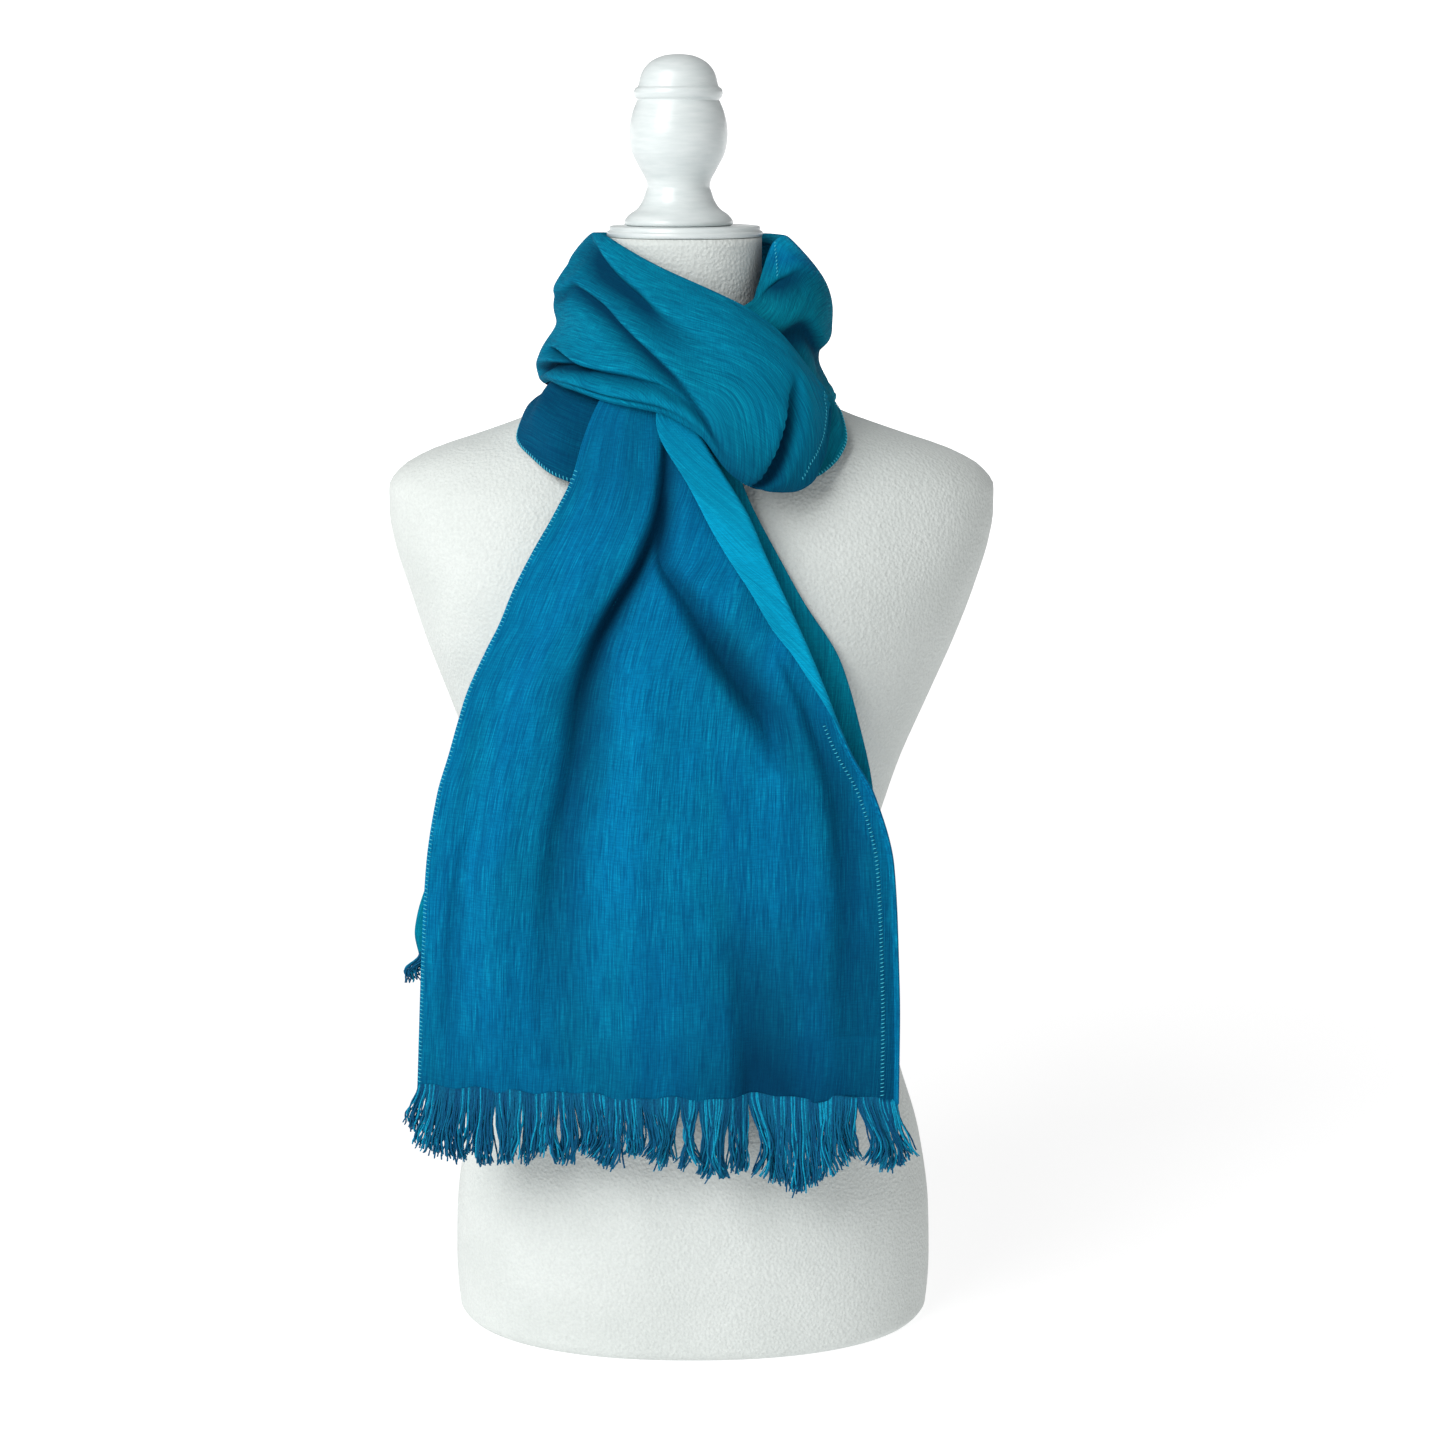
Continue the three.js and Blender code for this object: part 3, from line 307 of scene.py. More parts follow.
class Table:
    """Smooth columns between the rows of a table."""

    def __init__(self, rows, names=None):
        if names:
            rows = [dict(zip(names, row)) for row in rows]
        self.key = next(iter(rows[0]))
        rows = sorted(rows, key=lambda row: row[self.key])
        self.at = np.array([row[self.key] for row in rows], float)
        self.columns = {name: np.array([row[name] for row in rows], float) for name in rows[0]}

    def __call__(self, name, place):
        place = np.clip(np.asarray(place, float), self.at[0], self.at[-1])
        values = self.columns[name]
        if values.ndim > 1:
            return np.stack([self._curve(values[:, k], place) for k in range(values.shape[1])], -1)
        return self._curve(values, place)

    def _curve(self, values, place):
        slope = np.diff(values) / np.diff(self.at)
        tangent = np.empty_like(values)
        tangent[0], tangent[-1] = slope[0], slope[-1]
        before, after = slope[:-1], slope[1:]
        same = before * after > 0
        total = np.where(same, before + after, 1.0)
        tangent[1:-1] = np.where(same, 2 * before * after / total, 0.0)
        i = np.clip(np.searchsorted(self.at, place, side="right") - 1, 0, len(self.at) - 2)
        span = self.at[i + 1] - self.at[i]
        t = (place - self.at[i]) / span
        low = values[i] * (1 + 2 * t) * (1 - t) ** 2 + values[i + 1] * t * t * (3 - 2 * t)
        return low + span * (tangent[i] * t * (1 - t) ** 2 - tangent[i + 1] * t * t * (1 - t))


def fold_depth(folds, along, side, steep=1.0, gentle=1.0):
    """Pushed-in depth of all folds at points given along the table and across it.

    steep and gentle scale a fold's width before and after its deepest line."""
    depth = np.zeros(np.broadcast(along, side).shape)
    for rows in folds:
        table = Table(rows, ("at", "side", "deep", "wide"))
        inside = (along >= table.at[0]) & (along <= table.at[-1])
        away = (side - table("side", along)) / table("wide", along)
        away = np.where(away < 0, away / steep, away / gentle)
        push = table("deep", along) * np.exp(-(away**2))
        depth += np.where(inside, push, 0.0)
    return depth


def pick_points(points, index):
    """points[..., index, :] with an index of its own at each place, kept inside the table."""
    index = np.clip(index, 0, points.shape[-2] - 1)[..., None, None].repeat(2, -1)
    return np.take_along_axis(points, index, -2)[..., 0, :]


def spline(points, share):
    """Catmull-Rom curve through points[..., k, :] at shares of its length."""
    count = points.shape[-2]
    place = np.clip(share, 0, 1) * (count - 1)
    i = np.minimum(place.astype(int), count - 2)
    t = (place - i)[..., None]
    before = np.where(i > 0, i - 1, i)
    after = np.minimum(i + 2, count - 1)
    p0, p1, p2, p3 = (pick_points(points, index) for index in (before, i, i + 1, after))
    v0, v1 = (p2 - p0) / 2, (p3 - p1) / 2
    return (2 * p1 - 2 * p2 + v0 + v1) * t**3 + (3 * p2 - 3 * p1 - 2 * v0 - v1) * t**2 + v0 * t + p1


def ramp(value, start, end):
    """0 up to start, 1 from end on, and straight between; end may be the lower one."""
    return np.clip((value - start) / (end - start), 0, 1)


def hump(value, middle, width):
    """Smooth hump of height 1 round a middle."""
    return np.exp(-(((value - middle) / width) ** 2))


def ripple(u, v, seed, waves, size):
    """Low uneven waves over a surface, from a few sines in fixed directions."""
    draw = np.random.default_rng(seed)
    total = np.zeros(np.broadcast(u, v).shape)
    for _ in range(waves):
        across, along, start = draw.uniform(0.5, 1.6), draw.uniform(-0.25, 0.25), draw.uniform(0, 2 * math.pi)
        total += np.sin(2 * math.pi * (across * u + along * v) / size + start)
    return total / waves


def normals(grid):
    """Unit normals of a grid of points, outward for cloth whose rows run down."""
    down = np.gradient(grid, axis=0)
    side = np.gradient(grid, axis=1)
    normal = np.cross(down, side)
    return normal / np.maximum(np.linalg.norm(normal, axis=-1, keepdims=True), 1e-9)


def lengths_across(grid):
    """Length along each row of a grid, from its first point."""
    step = np.linalg.norm(np.diff(grid, axis=1), axis=-1)
    return np.concatenate([np.zeros((len(grid), 1)), np.cumsum(step, axis=1)], axis=1)


def make_object(name, points, faces, material):
    """A smooth mesh from points in metres, riding on the form."""
    mesh = bpy.data.meshes.new(name)
    mesh.from_pydata(np.asarray(points).tolist(), [], [tuple(face) for face in faces])
    mesh.validate()
    mesh.polygons.foreach_set("use_smooth", [True] * len(mesh.polygons))
    mesh.materials.append(material)
    piece = bpy.data.objects.new(name, mesh)
    bpy.context.scene.collection.objects.link(piece)
    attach(piece, "root")
    return piece


def shell(name, grid, thick, cloth, tone, deep, material):
    """Closed cloth wall round a grid of middle points in millimetres.

    cloth holds each point's place on the flat cloth, tone how far it shows the lighter side, and
    deep how much painted shade its colour gets, in folds and where shadow falls."""
    rows, columns = grid.shape[:2]
    out = normals(grid) * (thick / 2)[..., None]
    points = np.concatenate([(grid + out).reshape(-1, 3), (grid - out).reshape(-1, 3)]) * MM
    number = np.arange(rows * columns).reshape(rows, columns)
    offset = rows * columns
    a, b, c, d = number[:-1, :-1], number[1:, :-1], number[1:, 1:], number[:-1, 1:]
    front_faces = np.stack([a, b, c, d], -1).reshape(-1, 4)
    back_faces = np.stack([a, d, c, b], -1).reshape(-1, 4) + offset
    rim = []
    for line, outer in ((number[:, 0], 0), (number[:, -1], 1), (number[0, :], 1), (number[-1, :], 0)):
        p, q = line[:-1], line[1:]
        quad = [p, q, q + offset, p + offset] if outer else [p, p + offset, q + offset, q]
        rim.append(np.stack(quad, -1))
    faces = np.concatenate([front_faces, back_faces] + rim)
    piece = make_object(name, points, faces, material)
    mesh = piece.data
    place = np.concatenate([cloth.reshape(-1, 2)] * 2) * MM
    tones = np.concatenate([tone[0].reshape(-1), tone[1].reshape(-1)])
    corners = np.empty(len(mesh.loops), int)
    mesh.loops.foreach_get("vertex_index", corners)
    mesh.uv_layers.new(name="cloth").data.foreach_set("uv", place[corners].reshape(-1))
    mesh.attributes.new("tone", "FLOAT", "POINT").data.foreach_set("value", tones)
    # Painted shade: an attribute that darkens the cloth's colour in the material
    painted_shades = np.concatenate([np.clip(deep, 0, 1).reshape(-1)] * 2)
    mesh.attributes.new("painted_shade", "FLOAT", "POINT").data.foreach_set("value", painted_shades)
    return piece


def along_path(values, far, at):
    """The rows of values, given at distances far, taken at another distance."""
    return np.array([np.interp(at, far, values[:, k]) for k in range(3)])


def unit(vector):
    """The vector at length 1."""
    return vector / np.linalg.norm(vector)


def stitches(name, lines, material):
    """Short slanted stitches along hems; a line is its points and outward directions in millimetres."""
    points, faces = [], []
    sides = 4
    rings = ((0, -0.1, 0.15), (0.3, 0.25, 0.34), (0.7, 0.25, 0.34), (1, -0.1, 0.15))
    for path, out, inward in lines:
        far = lengths_across(path[None])[0]
        for at in np.arange(STITCH_PITCH, far[-1] - STITCH_PITCH, STITCH_PITCH):
            place = along_path(path, far, at)
            ahead = unit(along_path(path, far, at + 1) - place)
            away = unit(along_path(out, far, at))
            run = unit(along_path(inward, far, at)) * STITCH_LENGTH + ahead * STITCH_LEAN
            side = unit(np.cross(run, away))
            base = len(points)
            for share, rise, half in rings:
                middle = place + run * share + away * rise
                for turn in range(sides):
                    angle = math.pi / 4 + turn * 2 * math.pi / sides
                    points.append((middle + half * (side * math.cos(angle) + away * math.sin(angle))) * MM)
            for first in range(base, base + (len(rings) - 1) * sides, sides):
                for turn in range(sides):
                    p, q = first + turn, first + (turn + 1) % sides
                    faces.append((p, q, q + sides, p + sides))
            faces.append((base + 3, base + 2, base + 1, base))
            faces.append((base + 12, base + 13, base + 14, base + 15))
    make_object(name, points, faces, material)


def node(tree, kind, inputs=None, **values):
    new = tree.nodes.new(kind)
    for key, value in values.items():
        setattr(new, key, value)
    for key, value in (inputs or {}).items():
        if isinstance(value, bpy.types.NodeSocket):
            tree.links.new(value, new.inputs[key])
        else:
            new.inputs[key].default_value = value
    return new


def start_material(name):
    material = bpy.data.materials.new(name)
    material.use_nodes = True
    return material, material.node_tree, material.node_tree.nodes["Principled BSDF"]


def noise(tree, place, scale, detail, roughness=0.5):
    inputs = {"Vector": place, "Scale": scale, "Detail": detail, "Roughness": roughness}
    return node(tree, "ShaderNodeTexNoise", inputs).outputs["Fac"]


def streaks(tree, place, across, along, detail):
    """Noise drawn out along the cloth; across and along are its sizes in millimetres."""
    scale = (1 / (across * MM), 1 / (along * MM), 1)
    scaled = node(tree, "ShaderNodeVectorMath", {0: place, 1: scale}, operation="MULTIPLY")
    return noise(tree, scaled.outputs[0], 1.0, detail, 0.6)


def level(tree, value, low, high, to_low=0.0, to_high=1.0):
    """A value between low and high carried over to between to_low and to_high."""
    inputs = {"Value": value, "From Min": low, "From Max": high, "To Min": to_low, "To Max": to_high}
    return node(tree, "ShaderNodeMapRange", inputs).outputs["Result"]


def mix(tree, factor, one, two):
    """Colour between one and two."""
    new = node(tree, "ShaderNodeMix", data_type="RGBA")
    for key, value in ((0, factor), (6, one), (7, two)):
        if isinstance(value, bpy.types.NodeSocket):
            tree.links.new(value, new.inputs[key])
        elif key == 0:
            new.inputs[key].default_value = value
        else:
            new.inputs[key].default_value = (*value, 1)
    return new.outputs[2]


def toned(tree, tone, shade, colours):
    """Colour of the cloth from its teal, its blue and its lighter side."""
    teal, blue, lighter = colours
    return mix(tree, tone, mix(tree, shade, teal, blue), lighter)


def add_bump(tree, shader, height, strength, distance):
    inputs = {"Height": height, "Strength": strength, "Distance": distance}
    bump = node(tree, "ShaderNodeBump", inputs)
    tree.links.new(bump.outputs["Normal"], shader.inputs["Normal"])


def fibre_shine(shader, specular, sheen, tint=(1, 1, 1, 1)):
    """Dull surface with the faint sheen of loose fibres."""
    shader.inputs["Roughness"].default_value = 0.9
    shader.inputs["Specular IOR Level"].default_value = specular
    shader.inputs["Sheen Weight"].default_value = sheen
    shader.inputs["Sheen Roughness"].default_value = 0.5
    shader.inputs["Sheen Tint"].default_value = tint


def cloth_material():
    """Woven cloth of space-dyed yarn, streaked along the scarf."""
    material, tree, shader = start_material("scarf_weave")
    place = node(tree, "ShaderNodeUVMap", uv_map="cloth").outputs["UV"]
    tone = node(tree, "ShaderNodeAttribute", attribute_name="tone").outputs["Fac"]
    shade = level(tree, tone, -1, 0)
    base = toned(tree, tone, shade, CLOTH_BASE)
    dark = toned(tree, tone, shade, CLOTH_DARK)
    light = toned(tree, tone, shade, CLOTH_LIGHT)
    bands = level(tree, streaks(tree, place, 13, 260, 2), 0.35, 0.65, 0.45, 0.0)
    colour = mix(tree, bands, base, dark)
    patches = level(tree, streaks(tree, place, 55, 150, 2), 0.42, 0.62, 0, 0.5)
    colour = mix(tree, patches, colour, CLOTH_PATCH)
    slubs = level(tree, streaks(tree, place, 0.9, 30, 3), 0.5, 0.72, 0, 0.62)
    colour = mix(tree, slubs, colour, light)
    threads = level(tree, streaks(tree, place, 0.8, 24, 2), 0.38, 0.54, 0.62, 0)
    colour = mix(tree, threads, colour, dark)
    weft = level(tree, streaks(tree, place, 9, 0.9, 2), 0.42, 0.6, 0.3, 0)
    colour = mix(tree, weft, colour, dark)
    # Painted shade: darker colour where the attribute from the shell marks folds and shadow
    painted_shade = node(tree, "ShaderNodeAttribute", attribute_name="painted_shade").outputs["Fac"]
    colour = mix(tree, level(tree, painted_shade, 0.08, 0.9, 0, 0.9), colour, CLOTH_PAINTED_SHADE)
    tree.links.new(colour, shader.inputs["Base Color"])
    fibre_shine(shader, 0.04, 0.06, (0.0, 0.35, 0.5, 1))
    warp = streaks(tree, place, 0.8, 9, 2)
    cross = streaks(tree, place, 7, 0.9, 2)
    height = node(tree, "ShaderNodeMath", {0: warp, 1: cross}, operation="ADD").outputs[0]
    add_bump(tree, shader, height, 0.7, 0.0007)
    return material


def yarn_material(name, colours):
    """Loose yarn from a darker to a lighter colour."""
    shade, light = colours
    material, tree, shader = start_material(name)
    mixed = node(tree, "ShaderNodeAttribute", attribute_name="tone").outputs["Fac"]
    spot = node(tree, "ShaderNodeTexCoord").outputs["Object"]
    ply = noise(tree, spot, 900.0, 2.0)
    colour = mix(tree, mixed, shade, light)
    half_shade = tuple(part * 0.5 for part in shade)
    colour = mix(tree, level(tree, ply, 0.45, 0.6, 0, 0.3), colour, half_shade)
    tree.links.new(colour, shader.inputs["Base Color"])
    fibre_shine(shader, 0.15, 0.2, (0.05, 0.5, 0.7, 1))
    add_bump(tree, shader, ply, 0.5, 0.0004)
    return material


def jersey_material():
    """Nubby knitted cover of the form."""
    material, tree, shader = start_material("form_jersey")
    spot = node(tree, "ShaderNodeTexCoord").outputs["Object"]
    nub = noise(tree, spot, 520.0, 3.0, 0.65)
    loops = node(tree, "ShaderNodeTexVoronoi", {"Vector": spot, "Scale": 420.0}).outputs["Distance"]
    wide = noise(tree, spot, 14.0, 3.0)
    colour = mix(tree, level(tree, wide, 0.35, 0.65), (0.65, 0.69, 0.67), (0.71, 0.75, 0.73))
    colour = mix(tree, level(tree, nub, 0.35, 0.62, 0.3, 0), colour, (0.5, 0.53, 0.52))
    tree.links.new(colour, shader.inputs["Base Color"])
    fibre_shine(shader, 0.2, 0.15)
    height = node(tree, "ShaderNodeMath", {0: nub, 1: loops}, operation="ADD").outputs[0]
    add_bump(tree, shader, height, 0.55, 0.0009)
    return material


def paint_material():
    """Brushed white paint of the turned parts."""
    material, tree, shader = start_material("form_paint")
    spot = node(tree, "ShaderNodeTexCoord").outputs["Object"]
    brushed = node(tree, "ShaderNodeVectorMath", {0: spot, 1: (60, 60, 420)}, operation="MULTIPLY")
    brush = noise(tree, brushed.outputs[0], 1.0, 4.0)
    colour = mix(tree, level(tree, brush, 0.3, 0.7), (0.64, 0.7, 0.7), (0.72, 0.77, 0.77))
    tree.links.new(colour, shader.inputs["Base Color"])
    tree.links.new(level(tree, brush, 0.3, 0.7, 0.28, 0.42), shader.inputs["Roughness"])
    shader.inputs["Coat Weight"].default_value = 0.3
    shader.inputs["Coat Roughness"].default_value = 0.2
    add_bump(tree, shader, brush, 0.25, 0.0005)
    return material


def on_neck(angle, radius, height):
    """Points round the neck; the angle runs from the front towards +X."""
    turn = np.radians(angle)
    return np.stack([NECK_X + radius * np.sin(turn), -radius * np.cos(turn), height], -1)


def sections_at(rows, angle):
    table = Table(rows, ("angle",) + SECTION)
    return np.stack([table(name, angle) for name in SECTION], -2)


def down_sections(controls, share):
    """Points at shares of the way down the section at each angle."""
    shape = (controls.shape[0], share.shape[1])
    controls = np.broadcast_to(controls, shape + controls.shape[-2:])
    return spline(controls, np.broadcast_to(share, shape))


def rounded_min(one, two, soft):
    return -soft * np.log(np.exp(-one / soft) + np.exp(-two / soft))


def hem_thickness(distance):
    """Thickness of the wall, which grows where a hem is rolled in at its edge."""
    return CLOTH + HEM_EXTRA * np.exp(-((distance / HEM_WIDTH) ** 4))


def loop_tone_and_painted_shade(angle, share, folds, upper):
    """How far the loop shows the lighter side, with a painted highlight on the wrap, and how much painted
    shade each point gets.
    """
    wrap_angle = angle + 360
    behind = ramp(angle, SEAM - 20, SEAM - 130)
    turned_away = behind * behind * (3 - 2 * behind)
    # Painted highlight: the patch where the wrap's rim turns its lighter side out is pushed further to the
    # lighter colour, and gets less painted shade
    lit_edge = hump(wrap_angle, 73, 13) * hump(share, 0.17, 0.1)
    outside = LOOP_TONE - 0.3 * turned_away + np.where(upper, 0, lit_edge * 1.75)
    # Painted shade at the far left, under the lobe and along the top edge; on the wrap behind the neck, at
    # its rim and in the gap at the neck
    far_left = 0.2 * hump(angle, -85, 30)
    under = 0.7 * hump(share, 0.97, 0.24) * np.maximum(ramp(angle, 0, 12), 0.12)
    top_edge = 0.28 * hump(share, 0.06, 0.13) * hump(angle, -38, 36)
    rim = np.exp(-((share / 0.06) ** 4))
    behind_rim = turned_away * (0.3 - 0.25 * lit_edge + 0.7 * rim)
    gap_at_neck = 0.8 * hump(wrap_angle, 46, 8) * hump(share, 0, 0.1)
    # Painted shade in the folds, deeper folds darker
    loop_painted_shade = (np.maximum(folds, 0) / LOOP_DEEP) ** np.where(upper, 1.5, 1.0)
    return outside, loop_painted_shade + np.where(upper, far_left + under + top_edge, behind_rim + gap_at_neck)


def scarf_loop(material):
    """The upper strand and the stretch behind the neck and round the right side, in one piece."""
    around, down = LOOP_STEPS
    angle = np.linspace(LOOP_START, LOOP_END, around)[:, None]
    share = np.linspace(0, 1, down)[None, :]
    upper = angle >= SEAM
    first = sections_at(LOOP_UPPER, np.maximum(angle, SEAM))
    second = sections_at(WRAP_RIGHT, np.minimum(angle + 360, 180.0))
    section = down_sections(np.where(upper[..., None, None], first, second), share)
    folds = np.where(
        upper,
        fold_depth(LOOP_FOLDS, np.maximum(angle, SEAM), share, *LOOP_FOLD_SIDES),
        fold_depth(WRAP_FOLDS, angle + 360, share, *WRAP_FOLD_SIDES),
    )
    along = angle * YARN_PER_DEGREE
    radius = section[..., 0] - 1.2 * folds + 0.9 * ripple(share * 130, along * 0.5, 5, 6, 30)
    grid = on_neck(np.broadcast_to(angle, radius.shape), radius, section[..., 1])
    down_mm = lengths_across(grid)
    to_end = (LOOP_START - angle) * EDGE_PER_DEGREE
    across = np.where(upper, rounded_min(down_mm, to_end + 6, 9.0), down_mm)
    along_mm = np.where(upper & (angle > 0), along - (down_mm - across) * 0.9, along)
    cloth = np.stack([across, along_mm], -1)
    thick = hem_thickness(np.minimum(down_mm, down_mm[:, -1:] - down_mm))
    outside, loop_painted_shade = loop_tone_and_painted_shade(angle, share, folds, upper)
    tones = (outside, np.full_like(outside, INSIDE_TONE))
    piece = shell("scarf_loop", grid, thick, cloth, tones, loop_painted_shade, material)
    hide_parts("scarf_loop_upper", "scarf_wrap_right")
    return grid, angle[:, 0]


def scarf_lower_loop(material):
    """The lower strand, which shows at the left under the upper one, with painted shade over all of it from
    the upper one, darkest near its top.
    """
    around, down = LOWER_STEPS
    angle = np.linspace(16, -100, around)[:, None]
    share = np.linspace(0, 1, down)[None, :]
    section = down_sections(sections_at(LOOP_LOWER, angle), share)
    radius = section[..., 0] + 0.3 * ripple(share * 80, angle * 1.8, 9, 5, 24)
    grid = on_neck(np.broadcast_to(angle, radius.shape), radius, section[..., 1])
    down_mm = lengths_across(grid)
    cloth = np.stack([down_mm, angle * EDGE_PER_DEGREE + 0 * down_mm], -1)
    thick = hem_thickness(down_mm[:, -1:] - down_mm)
    tone = 0 * down_mm
    tones = (tone + 0.05, tone + INSIDE_TONE)
    # Painted shadow of the upper strand: some everywhere, more near the top
    painted_shade_under_upper = 0.72 + 0.2 * np.exp(-down_mm / 16)
    piece = shell("scarf_lower_loop", grid, thick, cloth, tones, painted_shade_under_upper, material)
    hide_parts("scarf_loop_lower")
    return grid


def end_depth(table, folds, x, z):
    """Y of a hanging end's cloth."""
    bow = table("bow", z) * (x - END_MIDDLE_X) ** 2
    return bow - table("depth", z) + fold_depth(folds, z, x, *END_FOLD_SIDES)


def cut_edge(x):
    """How far the cut edge dips below its mean height: higher at the left, and uneven."""
    return 0.028 * (x - END_MIDDLE_X) + 0.9 * np.sin(x / 9.0) + 0.7 * np.sin(x / 4.1 + 1)


def lower_edge(grid, z, bottom):
    """Lets the foot of a hanging end run out into its cut edge."""
    grid[..., 2] -= cut_edge(grid[..., 0]) * ramp(z, bottom + EDGE_FADE, bottom) ** 2


def folded_strip(table, z, reach, fine):
    """The bend round the front end's right edge and the strip past it, back over the panel."""
    folded = table("turned", z)
    half_turn = math.pi * BEND_RADIUS
    arc = np.minimum(folded * 0.75, half_turn)
    around = arc * np.linspace(0, 1, FRONT_BEND + 1)[None, 1:]
    past_bend = arc + (folded - arc * 0.7) * np.linspace(0, 1, FRONT_STRIP + 1)[None, 1:]
    along = np.concatenate([around, past_bend], axis=1)
    turn = np.minimum(along, half_turn) / BEND_RADIUS
    past = np.maximum(0, along - half_turn)
    x = reach + BEND_RADIUS * np.sin(turn) - past
    base = end_depth(table, [], np.minimum(x, reach), z + 0 * x)
    edge = fold_depth(FRONT_FOLDS, z, reach) * np.exp(-past / 12)
    wave = fine * np.exp(-past / 10)
    y = base + edge + wave - BEND_RADIUS * (1 - np.cos(turn))
    return np.stack([x, y, z + 0 * x], -1)


def front_painted_shade(x, z):
    """How much painted shade each point of the front end's panel gets, in its folds and where shadow falls.
    """
    pushed = fold_depth(FRONT_FOLDS, z, x, *END_FOLD_SIDES)
    # Painted shade: darker to the lower right, towards the bottom, and at the top below the knot
    lower_right = 0.34 * ramp(x, -60, 110) * ramp(z, 490, 290)
    low = 0.2 * ramp(z, 350, 240) + 0.2 * ramp(z, 245, 200)
    at_knot = 0.32 * ramp(z, 540, 600)
    return (np.maximum(pushed, 0) / FRONT_DEEP) ** 0.85 + lower_right + low + at_knot


def front_end(material):
    """The front hanging end, its right edge folded back over its face."""
    table = Table(FRONT_END)
    top, bottom = FRONT_END[0]["z"], FRONT_END[-1]["z"]
    z = np.linspace(top, bottom, FRONT_ROWS)[:, None]
    left, reach = table("left", z), table("right", z) - BEND_RADIUS
    x = left + (reach - left) * np.linspace(0, 1, FRONT_FLAT)[None, :]
    fine = 1.5 * ripple(x, z * 0.2, 3, 7, 40)
    y = end_depth(table, FRONT_FOLDS, x, z + 0 * x) + fine
    panel = np.stack([x, y, z + 0 * x], -1)
    turned = folded_strip(table, z, reach, fine[:, -1:])
    grid = np.concatenate([panel, turned], axis=1)
    lower_edge(grid, z, bottom)
    across = lengths_across(grid)
    width = across[:, -1:]
    cloth = np.stack([across * OWN_WIDTH + across / width * FRONT_FAN, z + 0 * across], -1)
    thick = hem_thickness(np.minimum(across, width - across))
    tone = 0 * across
    strip_tone = np.maximum(ramp(z, 425, 465), 0.05) * np.maximum(ramp(z, 685, 585), 0.5)
    # Painted shade on the panel; none on the folded strip
    deep = np.concatenate([front_painted_shade(x, z), np.zeros(turned.shape[:2])], axis=1)
    piece = shell("scarf_front_end", grid, thick, cloth, (tone, tone + strip_tone), deep, material)
    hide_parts("scarf_end_front")
    return grid, table


def rear_end(material):
    """The rear hanging end, which shows at both sides of the front one."""
    down, flat = REAR_STEPS
    table = Table(REAR_END)
    top, bottom = REAR_END[0]["z"], REAR_END[-1]["z"]
    z = np.linspace(top, bottom, down)[:, None]
    left, right = table("left", z), table("right", z)
    x = left + (right - left) * np.linspace(0, 1, flat)[None, :]
    y = end_depth(table, REAR_FOLDS, x, z + 0 * x) + 0.4 * ripple(x, z * 0.12, 4, 7, 40)
    grid = np.stack([x, y, z + 0 * x], -1)
    lower_edge(grid, z, bottom)
    across = lengths_across(grid)
    width = across[:, -1:]
    cloth = np.stack([across * OWN_WIDTH + across / width * REAR_FAN, z + 0 * across], -1)
    thick = hem_thickness(np.minimum(across, width - across))
    tone = 0 * across
    piece = shell("scarf_rear_end", grid, thick, cloth, (tone - 0.5, tone + 0.1), tone, material)
    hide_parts("scarf_end_rear")
    return table


def yarn_locks(draw, left, right):
    """Bounds, lean, lift, closing, length change and curl of each lock of yarns."""
    locks = []
    place = left
    while place < right:
        wide = draw.uniform(5, 13)
        lock = dict(start=place, end=place + wide, lean=draw.normal(0, 2.8))
        lock["lift"] = draw.normal(0, 3.5)
        lock["close"] = draw.uniform(0.72, 1.08)
        lock["longer"] = draw.normal(0, 2.6)
        lock["curl"] = draw.normal(0, 6.0)
        locks.append(lock)
        place += wide
    return locks


